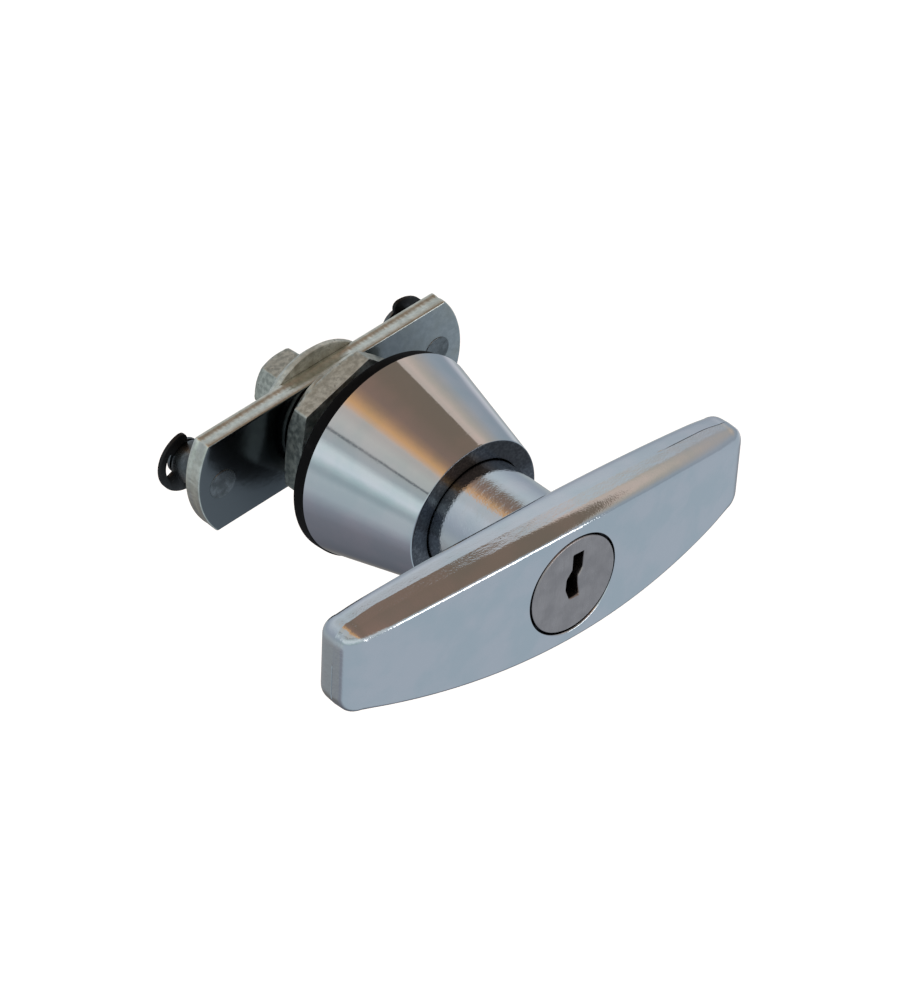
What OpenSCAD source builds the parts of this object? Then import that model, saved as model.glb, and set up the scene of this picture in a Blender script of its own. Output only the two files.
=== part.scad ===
// Locking T-handle latch for a cabinet door, tool box or vehicle canopy.
// Millimetres. The spindle axis is Y: the key face looks along -Y and the cam plate is at +Y.
// The origin is on the spindle axis, in the plane where the gasket meets the door.
// The grip bar lies along X at rest, and +Z is up.

/* [Grip bar] */
// Length of the grip bar
bar_len = 92.6; // [70:0.1:130]
// Height of the bar in the middle
bar_mid_h = 27; // [26:0.1:34]
// Height of the bar at its ends
bar_end_h = 16; // [12:0.1:24]
// Thickness of the bar in the middle
bar_mid_t = 10.5; // [8:0.1:14]
// Thickness of the bar at its ends
bar_end_t = 8.6; // [7.5:0.1:12]
// How far the ends stand back from the middle of the front face
bar_sweep = 5.3; // [0:0.1:10]
// Radius that rounds the ends of the bar
bar_end_r = 3.5; // [1:0.1:3.8]
// Radius of the long front edges
bar_front_r = 2.1; // [0.6:0.1:2.6]
// Radius of the long back edges
bar_back_r = 2.7; // [0.6:0.1:3]
// From the base of the cone to the middle of the bar's front face
bar_reach = 47.1; // [46:0.1:60]

/* [Neck and spindle] */
// Diameter of the neck that turns in the cone
neck_d = 21.4; // [20.8:0.1:23.5]
// Diameter of the spindle that runs through the threaded spigot
spindle_d = 15.5; // [14.6:0.1:16.4]
// Square at the end of the spindle, across its flats
square_af = 10; // [8.5:0.1:10.3]
// Radial gap between the neck and the cone
neck_gap = 0.4; // [0.3:0.05:0.6]
// Radial gap between the spindle and the spigot
spindle_gap = 0.2; // [0.1:0.05:0.3]

/* [Escutcheon cone] */
// Diameter of the cone at the door
cone_base_d = 40; // [36:0.1:60]
// Diameter of the cone at its nose
cone_nose_d = 29; // [28.5:0.1:36]
// Length of the cone
cone_len = 22.1; // [21:0.1:30]
// Rounding of the nose edge
nose_r = 0.4; // [0.2:0.1:1.2]
// Depth from the cone's base to the floor that the neck bears on
floor_depth = 5.5; // [5:0.1:8]

/* [Threaded spigot and panel nut] */
// Outer diameter of the spigot thread
spigot_d = 22; // [21:0.1:26]
// Width across the two flats that stop the spigot turning in its door hole
spigot_flats = 20.6; // [19.8:0.1:20.8]
// Length of the spigot from the cone's base
spigot_len = 13.9; // [12:0.1:30]
// Nut across its flats
nut_af = 27; // [26:0.1:36]
// Thickness of the nut
nut_t = 4.4; // [2:0.1:5]
// Slope of the chamfer behind the nut's corners, in degrees
nut_chamfer = 25; // [15:1:35]
// Room for the door panel, between the gasket and the nut
panel_room = 5.3; // [4.5:0.1:5.5]
// Angle of the nut about the spindle
nut_turn = 23.5; // [0:0.5:60]

/* [Gasket, seal and thrust washer] */
// How far the gasket's rim stands in from the cone's base
gasket_inset = 0.1; // [-1:0.1:2]
// Thickness of the gasket
gasket_t = 2.5; // [1:0.1:4]
// How far the loose gasket hangs down on the spigot
gasket_drop = 0.7; // [0:0.1:1.2]
// Thickness of the O-ring on the neck
seal_d = 1.8; // [1.2:0.1:2]
// Thickness of the thrust washer
thrust_t = 0.8; // [0.5:0.1:1.5]

/* [Cam plate and studs] */
// Length of the cam plate
plate_len = 61.6; // [58:0.1:90]
// Width of the cam plate
plate_w = 19.8; // [17:0.1:26]
// Thickness of the cam plate
plate_t = 3.6; // [2.5:0.1:5]
// Radius of the plate's round ends
plate_end_r = 17; // [14:0.1:30]
// Distance of the left rod stud from the middle of the plate
stud_left_x = 25.5; // [22:0.1:25.8]
// Distance of the right rod stud from the middle of the plate
stud_right_x = 24.9; // [22:0.1:25.8]
// Angle of the plate from the bar, which the play of the square hole allows
plate_turn = 6.9; // [0:0.1:12]
// Diameter of a stud
stud_d = 7.6; // [6:0.1:8]
// Length of a stud behind the plate
stud_reach = 7.8; // [6:0.1:14]
// Diameter of the tenon that is riveted into the plate
tenon_d = 4.8; // [3:0.1:5]
// Outer diameter of an E-clip
clip_d = 12.6; // [11.5:0.1:14]
// Width of an E-clip's band
clip_band = 1.4; // [1.2:0.1:2]
// How far a loose E-clip hangs down in its groove
clip_play = 0.3; // [0:0.1:0.4]
// Thickness of an E-clip
clip_t = 0.8; // [0.6:0.1:1.2]

/* [Rear fasteners] */
// Diameter of the retaining disc
disc_d = 25.8; // [20:0.1:32]
// Thickness of the retaining disc
disc_t = 2.8; // [2:0.1:5]
// Chamfer on the back of the disc
disc_chamfer = 1.7; // [0.3:0.1:1.7]
// Diameter of the bolt
bolt_d = 6; // [5:0.1:6.4]
// Length of the bolt under its head
bolt_len = 20; // [14:0.5:22]
// Bolt head across its flats
head_af = 11; // [10:0.1:13]
// Height of the bolt head
head_h = 5.1; // [3:0.1:6]
// Slope of the chamfer on the bolt head's corners, in degrees
head_chamfer = 30; // [15:1:40]
// Angle of the bolt head about the spindle
head_turn = 15.5; // [0:0.5:60]
// Width of the spring washer's ring
spring_band = 2.9; // [1.5:0.1:3.2]
// Thickness of the spring washer
spring_t = 1.8; // [1:0.1:2.5]
// Diameter of the plain washer
plain_d = 12; // [10:0.1:16]
// Thickness of the plain washer
plain_t = 1.6; // [1:0.1:2.5]

/* [Key plug] */
// Diameter of the plug's face
face_d = 19; // [17.5:0.1:20]
// Thickness of the plug's face flange
face_t = 2.4; // [1.6:0.1:3]
// Diameter of the plug's barrel
plug_d = 14; // [13.6:0.1:14.4]
// Number of wafer tumblers
wafer_count = 6; // [4:1:6]
// Thickness of a wafer
wafer_t = 1.2; // [0.8:0.1:1.3]
// Distance from one wafer to the next
wafer_pitch = 2.6; // [2.3:0.1:2.7]

/* [Locking bolt] */
// Distance of the drive pin from the spindle axis
drive_r = 2.8; // [2.2:0.1:2.9]
// Diameter of the drive pin
drive_d = 3; // [2.5:0.1:3.1]
// Width of the locking bolt
lock_w = 8; // [7:0.1:8.4]
// Thickness of the locking bolt
lock_t = 3.8; // [3:0.1:4.2]

/* [Hidden] */

$fn = 96;
// Overshoot of a cut past the face that it opens
past = 1;
// Gap between two pieces that move on each other, face to face
slack = 0.15;
// Play of the spindle along its axis
end_play = 0.2;
// Radial clearance of a turning fit
run = 0.08;
// Radial clearance of a part that is pushed in or on
snug = 0.05;
// Radial clearance of a pressed pin
press = 0.01;
// Radial clearance of a washer on its bolt or spindle
loose = 0.2;
// Broken edge of a turned or stamped piece
edge = 0.15;
// Chamfer on the end of a stud, a bolt or a shoulder
lead = 0.4;

// Places along the spindle, from the door's face
base_y = -gasket_t;
nose_y = base_y - cone_len;
floor_y = base_y - floor_depth;
shoulder_y = floor_y - slack;
nut_back_y = panel_room + nut_t;
spigot_y = base_y + spigot_len;
plate_y = spigot_y + thrust_t + end_play;
plate_back_y = plate_y + plate_t;
disc_back_y = plate_back_y + disc_t;
spring_back_y = disc_back_y + spring_t;
head_y = spring_back_y + plain_t;
front_y = base_y - bar_reach;

// Radii that several pieces share
neck_r = neck_d / 2;
cone_bore_r = neck_r + neck_gap;
gasket_r = cone_base_d / 2 - gasket_inset;
spindle_r = spindle_d / 2;
spigot_bore_r = spindle_r + spindle_gap;
plug_r = plug_d / 2;
plug_bore_r = plug_r + run;
stud_r = stud_d / 2;

// The bar's outline: half sizes at a place u from 0 in the middle to 1 at an end
bar_a = bar_len / 2;
function bar_half_h(u) = (bar_end_h + (bar_mid_h - bar_end_h) * (1 - u * u)) / 2;
function bar_front(u) = front_y + bar_sweep * u * u;
function bar_thick(u) = bar_mid_t + (bar_end_t - bar_mid_t) * u * u;
bar_back_y = front_y + bar_mid_t;

// Broken edge at the cone's base
base_edge = 0.3;
// Coring of the cone: its inner and outer wall, its depth past the floor and its arc
coring_in = 1.6;
coring_out = 3;
coring_depth = 1.5;
coring_deg = 66;

// Lock chamber in the neck, and the plug that ends at it
web_t = 4.4;
chamber_back_y = shoulder_y - web_t;
lock_back_y = chamber_back_y - slack;
lock_front_y = lock_back_y - lock_t;
plug_tail_y = lock_front_y - slack;
face_y = front_y + 0.1;
face_gap = 0.25;
plug_land = 1.4;

// Pin across the neck that holds the plug by its groove
pin_d = 2.5;
pin_y = plug_tail_y - plug_land - pin_d / 2 - slack;
pin_groove_depth = 1.4;
pin_groove_r = plug_r - pin_groove_depth;
pin_slot = 0.4;
pin_wall = 0.5;
pin_z = pin_groove_r + slack + pin_d / 2;
pin_half = sqrt(pow(neck_r, 2) - pow(pin_z + pin_d / 2, 2)) - slack;

// O-ring groove between the pin and the nose of the cone
seal_r = cone_bore_r - run - seal_d / 2;
seal_room = seal_d + 0.4;
seal_wall = 0.6;
seal_y = pin_y - pin_d / 2 - seal_wall - seal_room / 2;

// Wafers stand in slots of the barrel, flush with its round
wafer_w = plug_r;
wafer_half_h = sqrt(plug_r * plug_r - wafer_w * wafer_w / 4) - 0.06;
wafer_gap = 0.08;
// Room in the casting for wafers that stand out of the plug when the key is drawn
wafer_lead = 1.4;
wafer_rise = 1.2;
// From the flange of the plug to its first wafer, and from the last one to the end of the keyway
plug_shoulder = 2.6;
key_past = 1.2;
first_wafer_y = face_y + face_t + plug_shoulder;
function wafer_y(i) = first_wafer_y + i * wafer_pitch;
key_depth = first_wafer_y + (wafer_count - 1) * wafer_pitch + wafer_t + key_past - face_y;
key_top = 5.2;
wafer_cuts = [0.4, -0.3, 0.7, 0, 0.5, -0.4];
spring_d = wafer_t + 2 * wafer_gap - 0.12;
spring_wire = 0.28;
spring_turns = 4;
spring_len = 3.1;
spring_x = plug_r * 0.66;
spring_z = -plug_r * 0.49;
lug_h = 1.1;

// The pin swings from 45 degrees above the bolt's middle to 45 degrees below it
drive_start = 45;
drive_room = 0.15;
drive_z = drive_r * sin(drive_start);
drive_x = drive_r * cos(drive_start);
drive_seat = 4;
fork_wall = 1.3;
fork_room = 0.3;
lock_stroke = 2 * drive_z;
lock_back = 0.25;
lock_tip_r = neck_r - lock_back;
lock_top_z = drive_z + drive_d / 2 + drive_room + fork_wall;
notch_gap = 0.35;
notch_side = 0.2;
notch_r = lock_tip_r + lock_stroke + notch_gap;

// Lug on the neck's shoulder and the quarter-turn recess that stops it
lug_wall = 1.15;
lug_in_r = spigot_bore_r + lug_wall;
lug_out_r = neck_r - lock_back;
lug_room = 0.2;
lug_len = 2.2;
lug_deg = 30;
stop_deg = 1.5;
turn_deg = 90;

// Tapped hole in the spindle's end
bolt_tip_y = head_y - bolt_len;
hole_past = 2.5;
square_back = 0.2;

// Studs
function stud_x(s) = s < 0 ? -stud_left_x : stud_right_x;
tenon_r = tenon_d / 2;
groove_depth = 1.1;
groove_r = stud_r - groove_depth;
hub_r = groove_r + snug + clip_play;
rivet_flare = 0.5;
rivet_depth = 0.8;
stud_end = 1.1;
clip_y = plate_back_y + stud_reach - stud_end - clip_t;
// Direction in which the mouth of each E-clip looks
clip_mouth_left = 45;
clip_mouth_right = 145;
// Angles of an E-clip: its mouth, each of its three prongs and the gaps between them
mouth_deg = 80;
prong_deg = 52;
prong_gap_deg = (360 - mouth_deg - 3 * prong_deg) / 2;

// The square hole is wider than the square, so that the plate can sit at its angle
hole_af = square_af * (cos(plate_turn) + sin(plate_turn)) + 2 * snug;

// Draws the children, given in X and Z, as a slab from y0 to y1
module slab(y0, y1) {
  translate([0, y1, 0])
    rotate([90, 0, 0])
      linear_extrude(height = y1 - y0)
        children();
}

// Turns an outline of radius and Y about the spindle axis
module turned() {
  rotate([-90, 0, 0])
    rotate_extrude()
      children();
}

// A disc or a stub of the given radius on the spindle axis
module stub(r, y0, y1) {
  translate([0, y0, 0])
    rotate([-90, 0, 0])
      cylinder(r = r, h = y1 - y0);
}

// A block of an annulus: it starts at angle a0, in X and Z, and goes on by deg
module arc_block(r0, r1, y0, y1, a0, deg) {
  translate([0, y1, 0])
    rotate([90, 0, 0])
      rotate([0, 0, a0])
        rotate_extrude(angle = deg)
          translate([r0, 0])
            square([r1 - r0, y1 - y0]);
}

// A flat ring about the spindle axis with a small chamfer on its rims
module flat_ring(r_in, r_out, y0, t, c) {
  turned()
    polygon([
      [r_in, y0], [r_out - c, y0], [r_out, y0 + c],
      [r_out, y0 + t - c], [r_out - c, y0 + t], [r_in, y0 + t]
    ]);
}

// Outline of the spigot, with its two flats up and down
module spigot_outline() {
  intersection() {
    circle(d = spigot_d);
    square([spigot_d + past, spigot_flats], center = true);
  }
}

// Section of the bar at place x as [y, z] points, shrunk towards its end by inset
function corner(cy, cz, r, a0, n) =
  [for (i = [0 : n]) [cy + r * cos(a0 + 90 * i / n), cz + r * sin(a0 + 90 * i / n)]];
function bar_ring(x, inset, n) =
  let (
    u = abs(x) / bar_a,
    side = inset * 0.6,
    h = bar_half_h(u) - inset,
    y0 = bar_front(u) + side,
    y1 = bar_front(u) + bar_thick(u) - side,
    rf = min(bar_front_r, (y1 - y0) / 2 - 0.2, h - 0.2),
    rb = min(bar_back_r, (y1 - y0) / 2 - 0.2, h - 0.2)
  )
  concat(
    corner(y1 - rb, h - rb, rb, 0, n),
    corner(y0 + rf, h - rf, rf, 90, n),
    corner(y0 + rf, rf - h, rf, 180, n),
    corner(y1 - rb, rb - h, rb, 270, n)
  );

// Stations along the bar, each as [x, inset]; the insets round the two ends
bar_steps = 26;
end_steps = 6;
edge_steps = 6;
function end_station(s, i) =
  let (a = 90 * i / end_steps)
  [s * (bar_a - bar_end_r * (1 - sin(a))), bar_end_r * (1 - cos(a))];
bar_stations = concat(
  [for (i = [end_steps : -1 : 1]) end_station(-1, i)],
  [for (i = [0 : bar_steps]) [(bar_a - bar_end_r) * (2 * i / bar_steps - 1), 0]],
  [for (i = [1 : end_steps]) end_station(1, i)]
);

// Skin over a row of rings that have the same number of points
module skin(rings) {
  n = len(rings[0]);
  last = len(rings) - 1;
  points = [for (ring = rings) for (p = ring) p];
  sides = [
    for (k = [0 : last - 1])
      for (i = [0 : n - 1])
        let (j = (i + 1) % n)
          for (t = [[k * n + i, (k + 1) * n + j, k * n + j], [k * n + i, (k + 1) * n + i, (k + 1) * n + j]])
            t
  ];
  caps = [
    [for (i = [0 : n - 1]) i],
    [for (i = [n - 1 : -1 : 0]) last * n + i]
  ];
  polyhedron(points = points, faces = concat(sides, caps));
}

// Crowned and swept grip, thick in the middle and round at every edge
module grip_bar() {
  skin([
    for (s = bar_stations)
      [for (p = bar_ring(s[0], s[1], edge_steps)) [s[0], p[0], p[1]]]
  ]);
}

// Neck, shoulder, spindle, square and stop lug, with the cuts for seal and bolt
module neck_and_spindle() {
  square_y = plate_back_y - square_back;
  turned()
    polygon([
      [0, bar_back_y - bar_mid_t / 2], [neck_r, bar_back_y - bar_mid_t / 2],
      [neck_r, seal_y - seal_room / 2], [seal_r - seal_d / 2 - snug, seal_y - seal_room / 2],
      [seal_r - seal_d / 2 - snug, seal_y + seal_room / 2], [neck_r, seal_y + seal_room / 2],
      [neck_r, shoulder_y - lead], [neck_r - lead, shoulder_y], [spindle_r, shoulder_y],
      [spindle_r, plate_y], [0, plate_y]
    ]);
  slab(plate_y - past, square_y)
    square(square_af, center = true);
  arc_block(lug_in_r, lug_out_r, shoulder_y - past, shoulder_y + lug_len, 270 - lug_deg / 2, lug_deg);
}

// Stepped bore for the plug, its wafer slots, the chamber and the bolt's way out
module plug_bore() {
  stub(face_d / 2 + face_gap, front_y - past, face_y + face_t + snug);
  stub(plug_bore_r, face_y + face_t, chamber_back_y);
  slab(first_wafer_y - wafer_lead, face_y + key_depth - key_past + wafer_lead)
    square([wafer_w + 2 * loose, 2 * (plug_bore_r + wafer_rise)], center = true);
  slab(plug_tail_y, chamber_back_y)
    translate([-lock_w / 2 - slack / 2, -neck_r - past])
      square([lock_w + slack, neck_r + past]);
  translate([0, pin_y, pin_z])
    rotate([0, 90, 0])
      cylinder(d = pin_d + 2 * snug, h = 2 * (neck_r + past), center = true);
}

module t_handle() {
  color("#c3c8cc")
    difference() {
      union() {
        grip_bar();
        neck_and_spindle();
      }
      plug_bore();
      stub(bolt_d / 2 + snug, bolt_tip_y - hole_past, plate_back_y + past);
    }
}

// Cone with its bore, bearing floor, stop recess, bolt notches and threaded spigot
module escutcheon() {
  base_r = cone_base_d / 2;
  face_r = cone_nose_d / 2;
  color("#b9bec4")
    difference() {
      union() {
        turned()
          polygon([
            [0, base_y], [base_r - base_edge, base_y], [base_r, base_y - base_edge],
            for (a = [90 : -15 : 0])
              [face_r - nose_r * (1 - sin(a)), nose_y + nose_r * (1 - cos(a))],
            [0, nose_y]
          ]);
        slab(base_y - past, spigot_y)
          spigot_outline();
      }
      stub(cone_bore_r, nose_y - past, floor_y);
      turned()
        polygon([
          [cone_bore_r - past, nose_y - past], [cone_bore_r + edge + past, nose_y - past],
          [cone_bore_r, nose_y + edge], [cone_bore_r - past, nose_y + edge]
        ]);
      stub(spigot_bore_r, floor_y - past, spigot_y + past);
      arc_block(
        lug_in_r - lug_room, lug_out_r + lug_room, floor_y - past, floor_y + lug_len + lug_room,
        270 - lug_deg / 2 - stop_deg - turn_deg, lug_deg + turn_deg + 2 * stop_deg
      );
      // A notch for each quarter turn, so the handle locks shut and locks open
      slab(lock_front_y - notch_side, lock_back_y + notch_side)
        for (a = [0, 90])
          rotate(a)
            square([lock_w + 2 * notch_gap, 2 * notch_r], center = true);
      coring();
    }
}

// Four arc pockets in the cone's base lighten the casting
module coring() {
  for (k = [0 : 3])
    arc_block(
      cone_bore_r + coring_in, cone_base_d / 2 - coring_out, floor_y - coring_depth, base_y + past,
      90 * k + 45 - coring_deg / 2, coring_deg
    );
}

// Rubber ring, wider than the spigot, so it hangs down until its bore rests on the thread
module gasket() {
  color("#151515")
    translate([0, 0, -gasket_drop])
      flat_ring(spigot_d / 2 + gasket_drop + run, gasket_r, base_y, gasket_t, edge);
}

// Thin hexagon nut: flat towards the door and chamfered behind
module panel_nut() {
  corner_r = nut_af / sqrt(3);
  drop = (corner_r - nut_af / 2) * tan(nut_chamfer);
  color("#8d918a")
    difference() {
      intersection() {
        slab(panel_room, nut_back_y)
          rotate(nut_turn)
            circle(r = corner_r, $fn = 6);
        turned()
          polygon([
            [0, panel_room - past], [corner_r + past, panel_room - past],
            [corner_r + past, nut_back_y - drop - past * tan(nut_chamfer)],
            [nut_af / 2, nut_back_y], [0, nut_back_y]
          ]);
      }
      stub(spigot_d / 2 + snug, 0, nut_back_y + past);
    }
}

module thrust_washer() {
  color("#a9aba6")
    flat_ring(spindle_r + loose, spigot_d / 2, spigot_y, thrust_t, edge);
}

module neck_seal() {
  color("#111111")
    turned()
      translate([seal_r, seal_y])
        circle(d = seal_d, $fn = 32);
}

// Slotted spring pin across the neck
module plug_pin() {
  color("#6f7378")
    translate([0, pin_y, pin_z])
      rotate([0, 90, 0])
        linear_extrude(height = 2 * pin_half, center = true)
          difference() {
            circle(d = pin_d);
            circle(d = pin_d - 2 * pin_wall);
            translate([-pin_d, -pin_slot / 2])
              square([pin_d, pin_slot]);
          }
}

// Keyway through the plug's face: the upper leg stands to the right of the lower one
module keyway_outline() {
  polygon([
    [-0.5, 6.4], [2.0, 6.3], [1.9, 2.8], [0.9, 1.3], [1.0, -0.3],
    [1.5, -2.8], [-0.8, -2.8], [-1.8, -0.4], [-1.7, 1.8], [-0.5, 3.3]
  ]);
}

// The part of the keyway that runs on through the barrel
module barrel_keyway() {
  intersection() {
    keyway_outline();
    translate([-plug_r, -plug_r])
      square([2 * plug_r, plug_r + key_top]);
  }
}

module key_plug() {
  color("#a3a29c")
    difference() {
      turned()
        polygon([
          [0, face_y], [face_d / 2 - edge, face_y], [face_d / 2, face_y + edge],
          [face_d / 2, face_y + face_t], [plug_r, face_y + face_t],
          [plug_r, pin_y - pin_d / 2 - slack], [pin_groove_r, pin_y - pin_d / 2 - slack],
          [pin_groove_r, pin_y + pin_d / 2 + slack], [plug_r, pin_y + pin_d / 2 + slack],
          [plug_r, plug_tail_y], [0, plug_tail_y]
        ]);
      slab(face_y - past, face_y + face_t + lead)
        keyway_outline();
      slab(face_y - past, face_y + key_depth)
        barrel_keyway();
      for (i = [0 : wafer_count - 1])
        translate([0, wafer_y(i) - wafer_gap, 0])
          wafer_slot(wafer_t + 2 * wafer_gap);
      drive_pin_hole();
    }
}

// Slot for one wafer right through the barrel, with the pocket for its spring
module wafer_slot(t) {
  slab(0, t) {
    square([wafer_w + 2 * wafer_gap, 2 * (plug_r + past)], center = true);
    translate([0, spring_z - wafer_gap])
      square([spring_x + spring_d / 2 + loose, spring_len + lug_h + wafer_rise]);
  }
}

module drive_pin_hole() {
  translate([drive_x, plug_tail_y - drive_seat, drive_z])
    rotate([-90, 0, 0])
      cylinder(d = drive_d + 2 * press, h = drive_seat + past);
}

// One wafer: a plate with its key window and the lug that its spring pushes up
module wafer(shift) {
  window_w = 4.4;
  window_h = 7.2;
  slab(0, wafer_t)
    difference() {
      union() {
        square([wafer_w, 2 * wafer_half_h], center = true);
        translate([0, spring_z + spring_len + wafer_gap])
          square([spring_x + spring_d / 2, lug_h]);
      }
      translate([-window_w / 2, shift + 1 - window_h / 2])
        square([window_w, window_h]);
    }
}

module wafers() {
  color("#b9a15c")
    for (i = [0 : wafer_count - 1])
      translate([0, wafer_y(i), 0])
        wafer(wafer_cuts[i]);
}

// Ring of wire at angle a of a coil spring, up and outward from the coil's centre line
function coil_ring(a) =
  let (
    r = (spring_d - spring_wire) / 2,
    w = spring_wire / 2,
    z = w + (spring_len - wafer_gap - spring_wire) * a / (360 * spring_turns)
  )
  [
    for (b = [0 : 60 : 300])
      [(r + w * sin(b)) * cos(a), (r + w * sin(b)) * sin(a), z + w * cos(b)]
  ];

// One coil spring, its wire swept along a helix
module wafer_spring() {
  skin([for (a = [0 : 36 : 360 * spring_turns]) coil_ring(a)]);
}

module wafer_springs() {
  color("#9aa0a6")
    for (i = [0 : wafer_count - 1])
      translate([spring_x, wafer_y(i) + wafer_t / 2, spring_z])
        wafer_spring();
}

// Steel pin in the plug's tail that drives the locking bolt
module drive_pin() {
  color("#7c8086")
    translate([drive_x, plug_tail_y - drive_seat, drive_z])
      rotate([-90, 0, 0])
        cylinder(d = drive_d, h = drive_seat + slack + lock_t);
}

// Radial bolt: a fork that the drive pin moves, with a tip as round as the neck
module locking_bolt() {
  fork_x = drive_x - drive_d / 2 - fork_room;
  fork_z = drive_z - drive_d / 2 - drive_room;
  color("#8f8a78")
    intersection() {
      slab(lock_front_y, lock_back_y)
        difference() {
          translate([-lock_w / 2, -neck_r])
            square([lock_w, neck_r + lock_top_z]);
          translate([fork_x, fork_z])
            square([lock_w, drive_d + 2 * drive_room]);
        }
      stub(lock_tip_r, lock_front_y - past, lock_back_y + past);
    }
}

// Outline of the cam plate: straight sides and round ends
module plate_outline() {
  end_x = plate_len / 2 - plate_end_r;
  intersection() {
    square([plate_len, plate_w], center = true);
    union() {
      for (s = [-1, 1])
        translate([s * end_x, 0])
          circle(r = plate_end_r);
      square([2 * end_x, plate_w], center = true);
    }
  }
}

module cam_plate() {
  color("#9a9d92")
    rotate([0, -plate_turn, 0])
      difference() {
        slab(plate_y, plate_back_y)
          plate_outline();
        slab(plate_y - past, plate_back_y + past)
          square(hole_af, center = true);
        for (s = [-1, 1])
          translate([stud_x(s), 0, 0]) {
            stub(tenon_r + snug, plate_y - past, plate_back_y + past);
            turned()
              polygon([
                [0, plate_y - past], [tenon_r + rivet_flare + snug, plate_y - past],
                [tenon_r + rivet_flare + snug, plate_y], [tenon_r + snug, plate_y + rivet_depth],
                [0, plate_y + rivet_depth]
              ]);
          }
      }
}

// Shouldered stud: riveted tenon, shank, clip groove and chamfered end
module rod_stud() {
  end_y = plate_back_y + stud_reach;
  turned()
    polygon([
      [0, plate_y], [tenon_r + rivet_flare, plate_y], [tenon_r, plate_y + rivet_depth],
      [tenon_r, plate_back_y], [stud_r, plate_back_y],
      [stud_r, clip_y - snug], [groove_r, clip_y - snug],
      [groove_r, clip_y + clip_t + snug], [stud_r, clip_y + clip_t + snug],
      [stud_r, end_y - lead], [stud_r - lead, end_y], [0, end_y]
    ]);
}

// Cut through an E-clip out to radius r, over deg from angle a0
module clip_cut(r, a0, deg) {
  arc_block(stud_r / 2, r, clip_y - past, clip_y + clip_t + past, a0, deg);
}

// Retaining ring for a shaft groove: an open ring with three prongs, which hangs down by its play
module e_clip(mouth) {
  rim_r = clip_d / 2;
  arm_end = mouth + mouth_deg / 2;
  translate([0, 0, -clip_play])
    difference() {
      slab(clip_y, clip_y + clip_t)
        difference() {
          circle(r = rim_r);
          circle(r = hub_r);
        }
      clip_cut(rim_r + past, mouth - mouth_deg / 2, mouth_deg);
      for (k = [0, 1])
        clip_cut(rim_r - clip_band, arm_end + prong_deg + k * (prong_deg + prong_gap_deg), prong_gap_deg);
    }
}

// Places a stud or its clip: s is -1 for the left end of the plate and 1 for the right
module at_stud(s) {
  rotate([0, -plate_turn, 0])
    translate([stud_x(s), 0, 0])
      children();
}

module stud_left() {
  color("#6d7274")
    at_stud(-1)
      rod_stud();
}

module stud_right() {
  color("#6d7274")
    at_stud(1)
      rod_stud();
}

module clip_left() {
  color("#141414")
    at_stud(-1)
      e_clip(clip_mouth_left);
}

module clip_right() {
  color("#141414")
    at_stud(1)
      e_clip(clip_mouth_right);
}

module retaining_disc() {
  bore_r = bolt_d / 2 + loose;
  color("#989b90")
    turned()
      polygon([
        [bore_r, plate_back_y], [disc_d / 2 - edge, plate_back_y],
        [disc_d / 2, plate_back_y + edge], [disc_d / 2, disc_back_y - disc_chamfer],
        [disc_d / 2 - disc_chamfer, disc_back_y], [bore_r, disc_back_y]
      ]);
}

// Split ring, pressed flat by the bolt
module spring_washer() {
  r_out = bolt_d / 2 + spring_band;
  split_w = 0.8;
  split_deg = 25;
  color("#85888a")
    difference() {
      flat_ring(bolt_d / 2 + loose, r_out, disc_back_y, spring_t, edge);
      translate([0, disc_back_y + spring_t / 2, r_out])
        rotate([0, 0, split_deg])
          cube([split_w, 3 * spring_t, 2 * r_out], center = true);
    }
}

module plain_washer() {
  color("#9b9e94")
    flat_ring(bolt_d / 2 + loose, plain_d / 2, spring_back_y, plain_t, edge);
}

module hex_bolt() {
  corner_r = head_af / sqrt(3);
  crown_r = head_af / 2 - snug;
  top_y = head_y + head_h;
  shank_r = bolt_d / 2;
  color("#8b8f8c") {
    intersection() {
      slab(head_y, top_y)
        rotate(head_turn)
          circle(r = corner_r, $fn = 6);
      turned()
        polygon([
          [0, head_y - past], [corner_r + past, head_y - past],
          [corner_r + past, top_y - (corner_r + past - crown_r) * tan(head_chamfer)],
          [crown_r, top_y], [0, top_y]
        ]);
    }
    turned()
      polygon([
        [0, bolt_tip_y], [shank_r - lead, bolt_tip_y], [shank_r, bolt_tip_y + lead],
        [shank_r, head_y + head_h / 2], [0, head_y + head_h / 2]
      ]);
  }
}

escutcheon();
gasket();
panel_nut();
thrust_washer();
t_handle();
neck_seal();
plug_pin();
cam_plate();
stud_left();
stud_right();
clip_left();
clip_right();
retaining_disc();
spring_washer();
plain_washer();
hex_bolt();
key_plug();
wafers();
wafer_springs();
drive_pin();
locking_bolt();
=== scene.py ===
"""Looks of a locking T-handle latch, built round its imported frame.

Shapes are worked out in millimetres, with the spindle along Y, and become metres in the mesh.
Plane outlines and turned profiles are complex numbers: x + iz for an outline, radius + iy for a profile.
"""
import math

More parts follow.
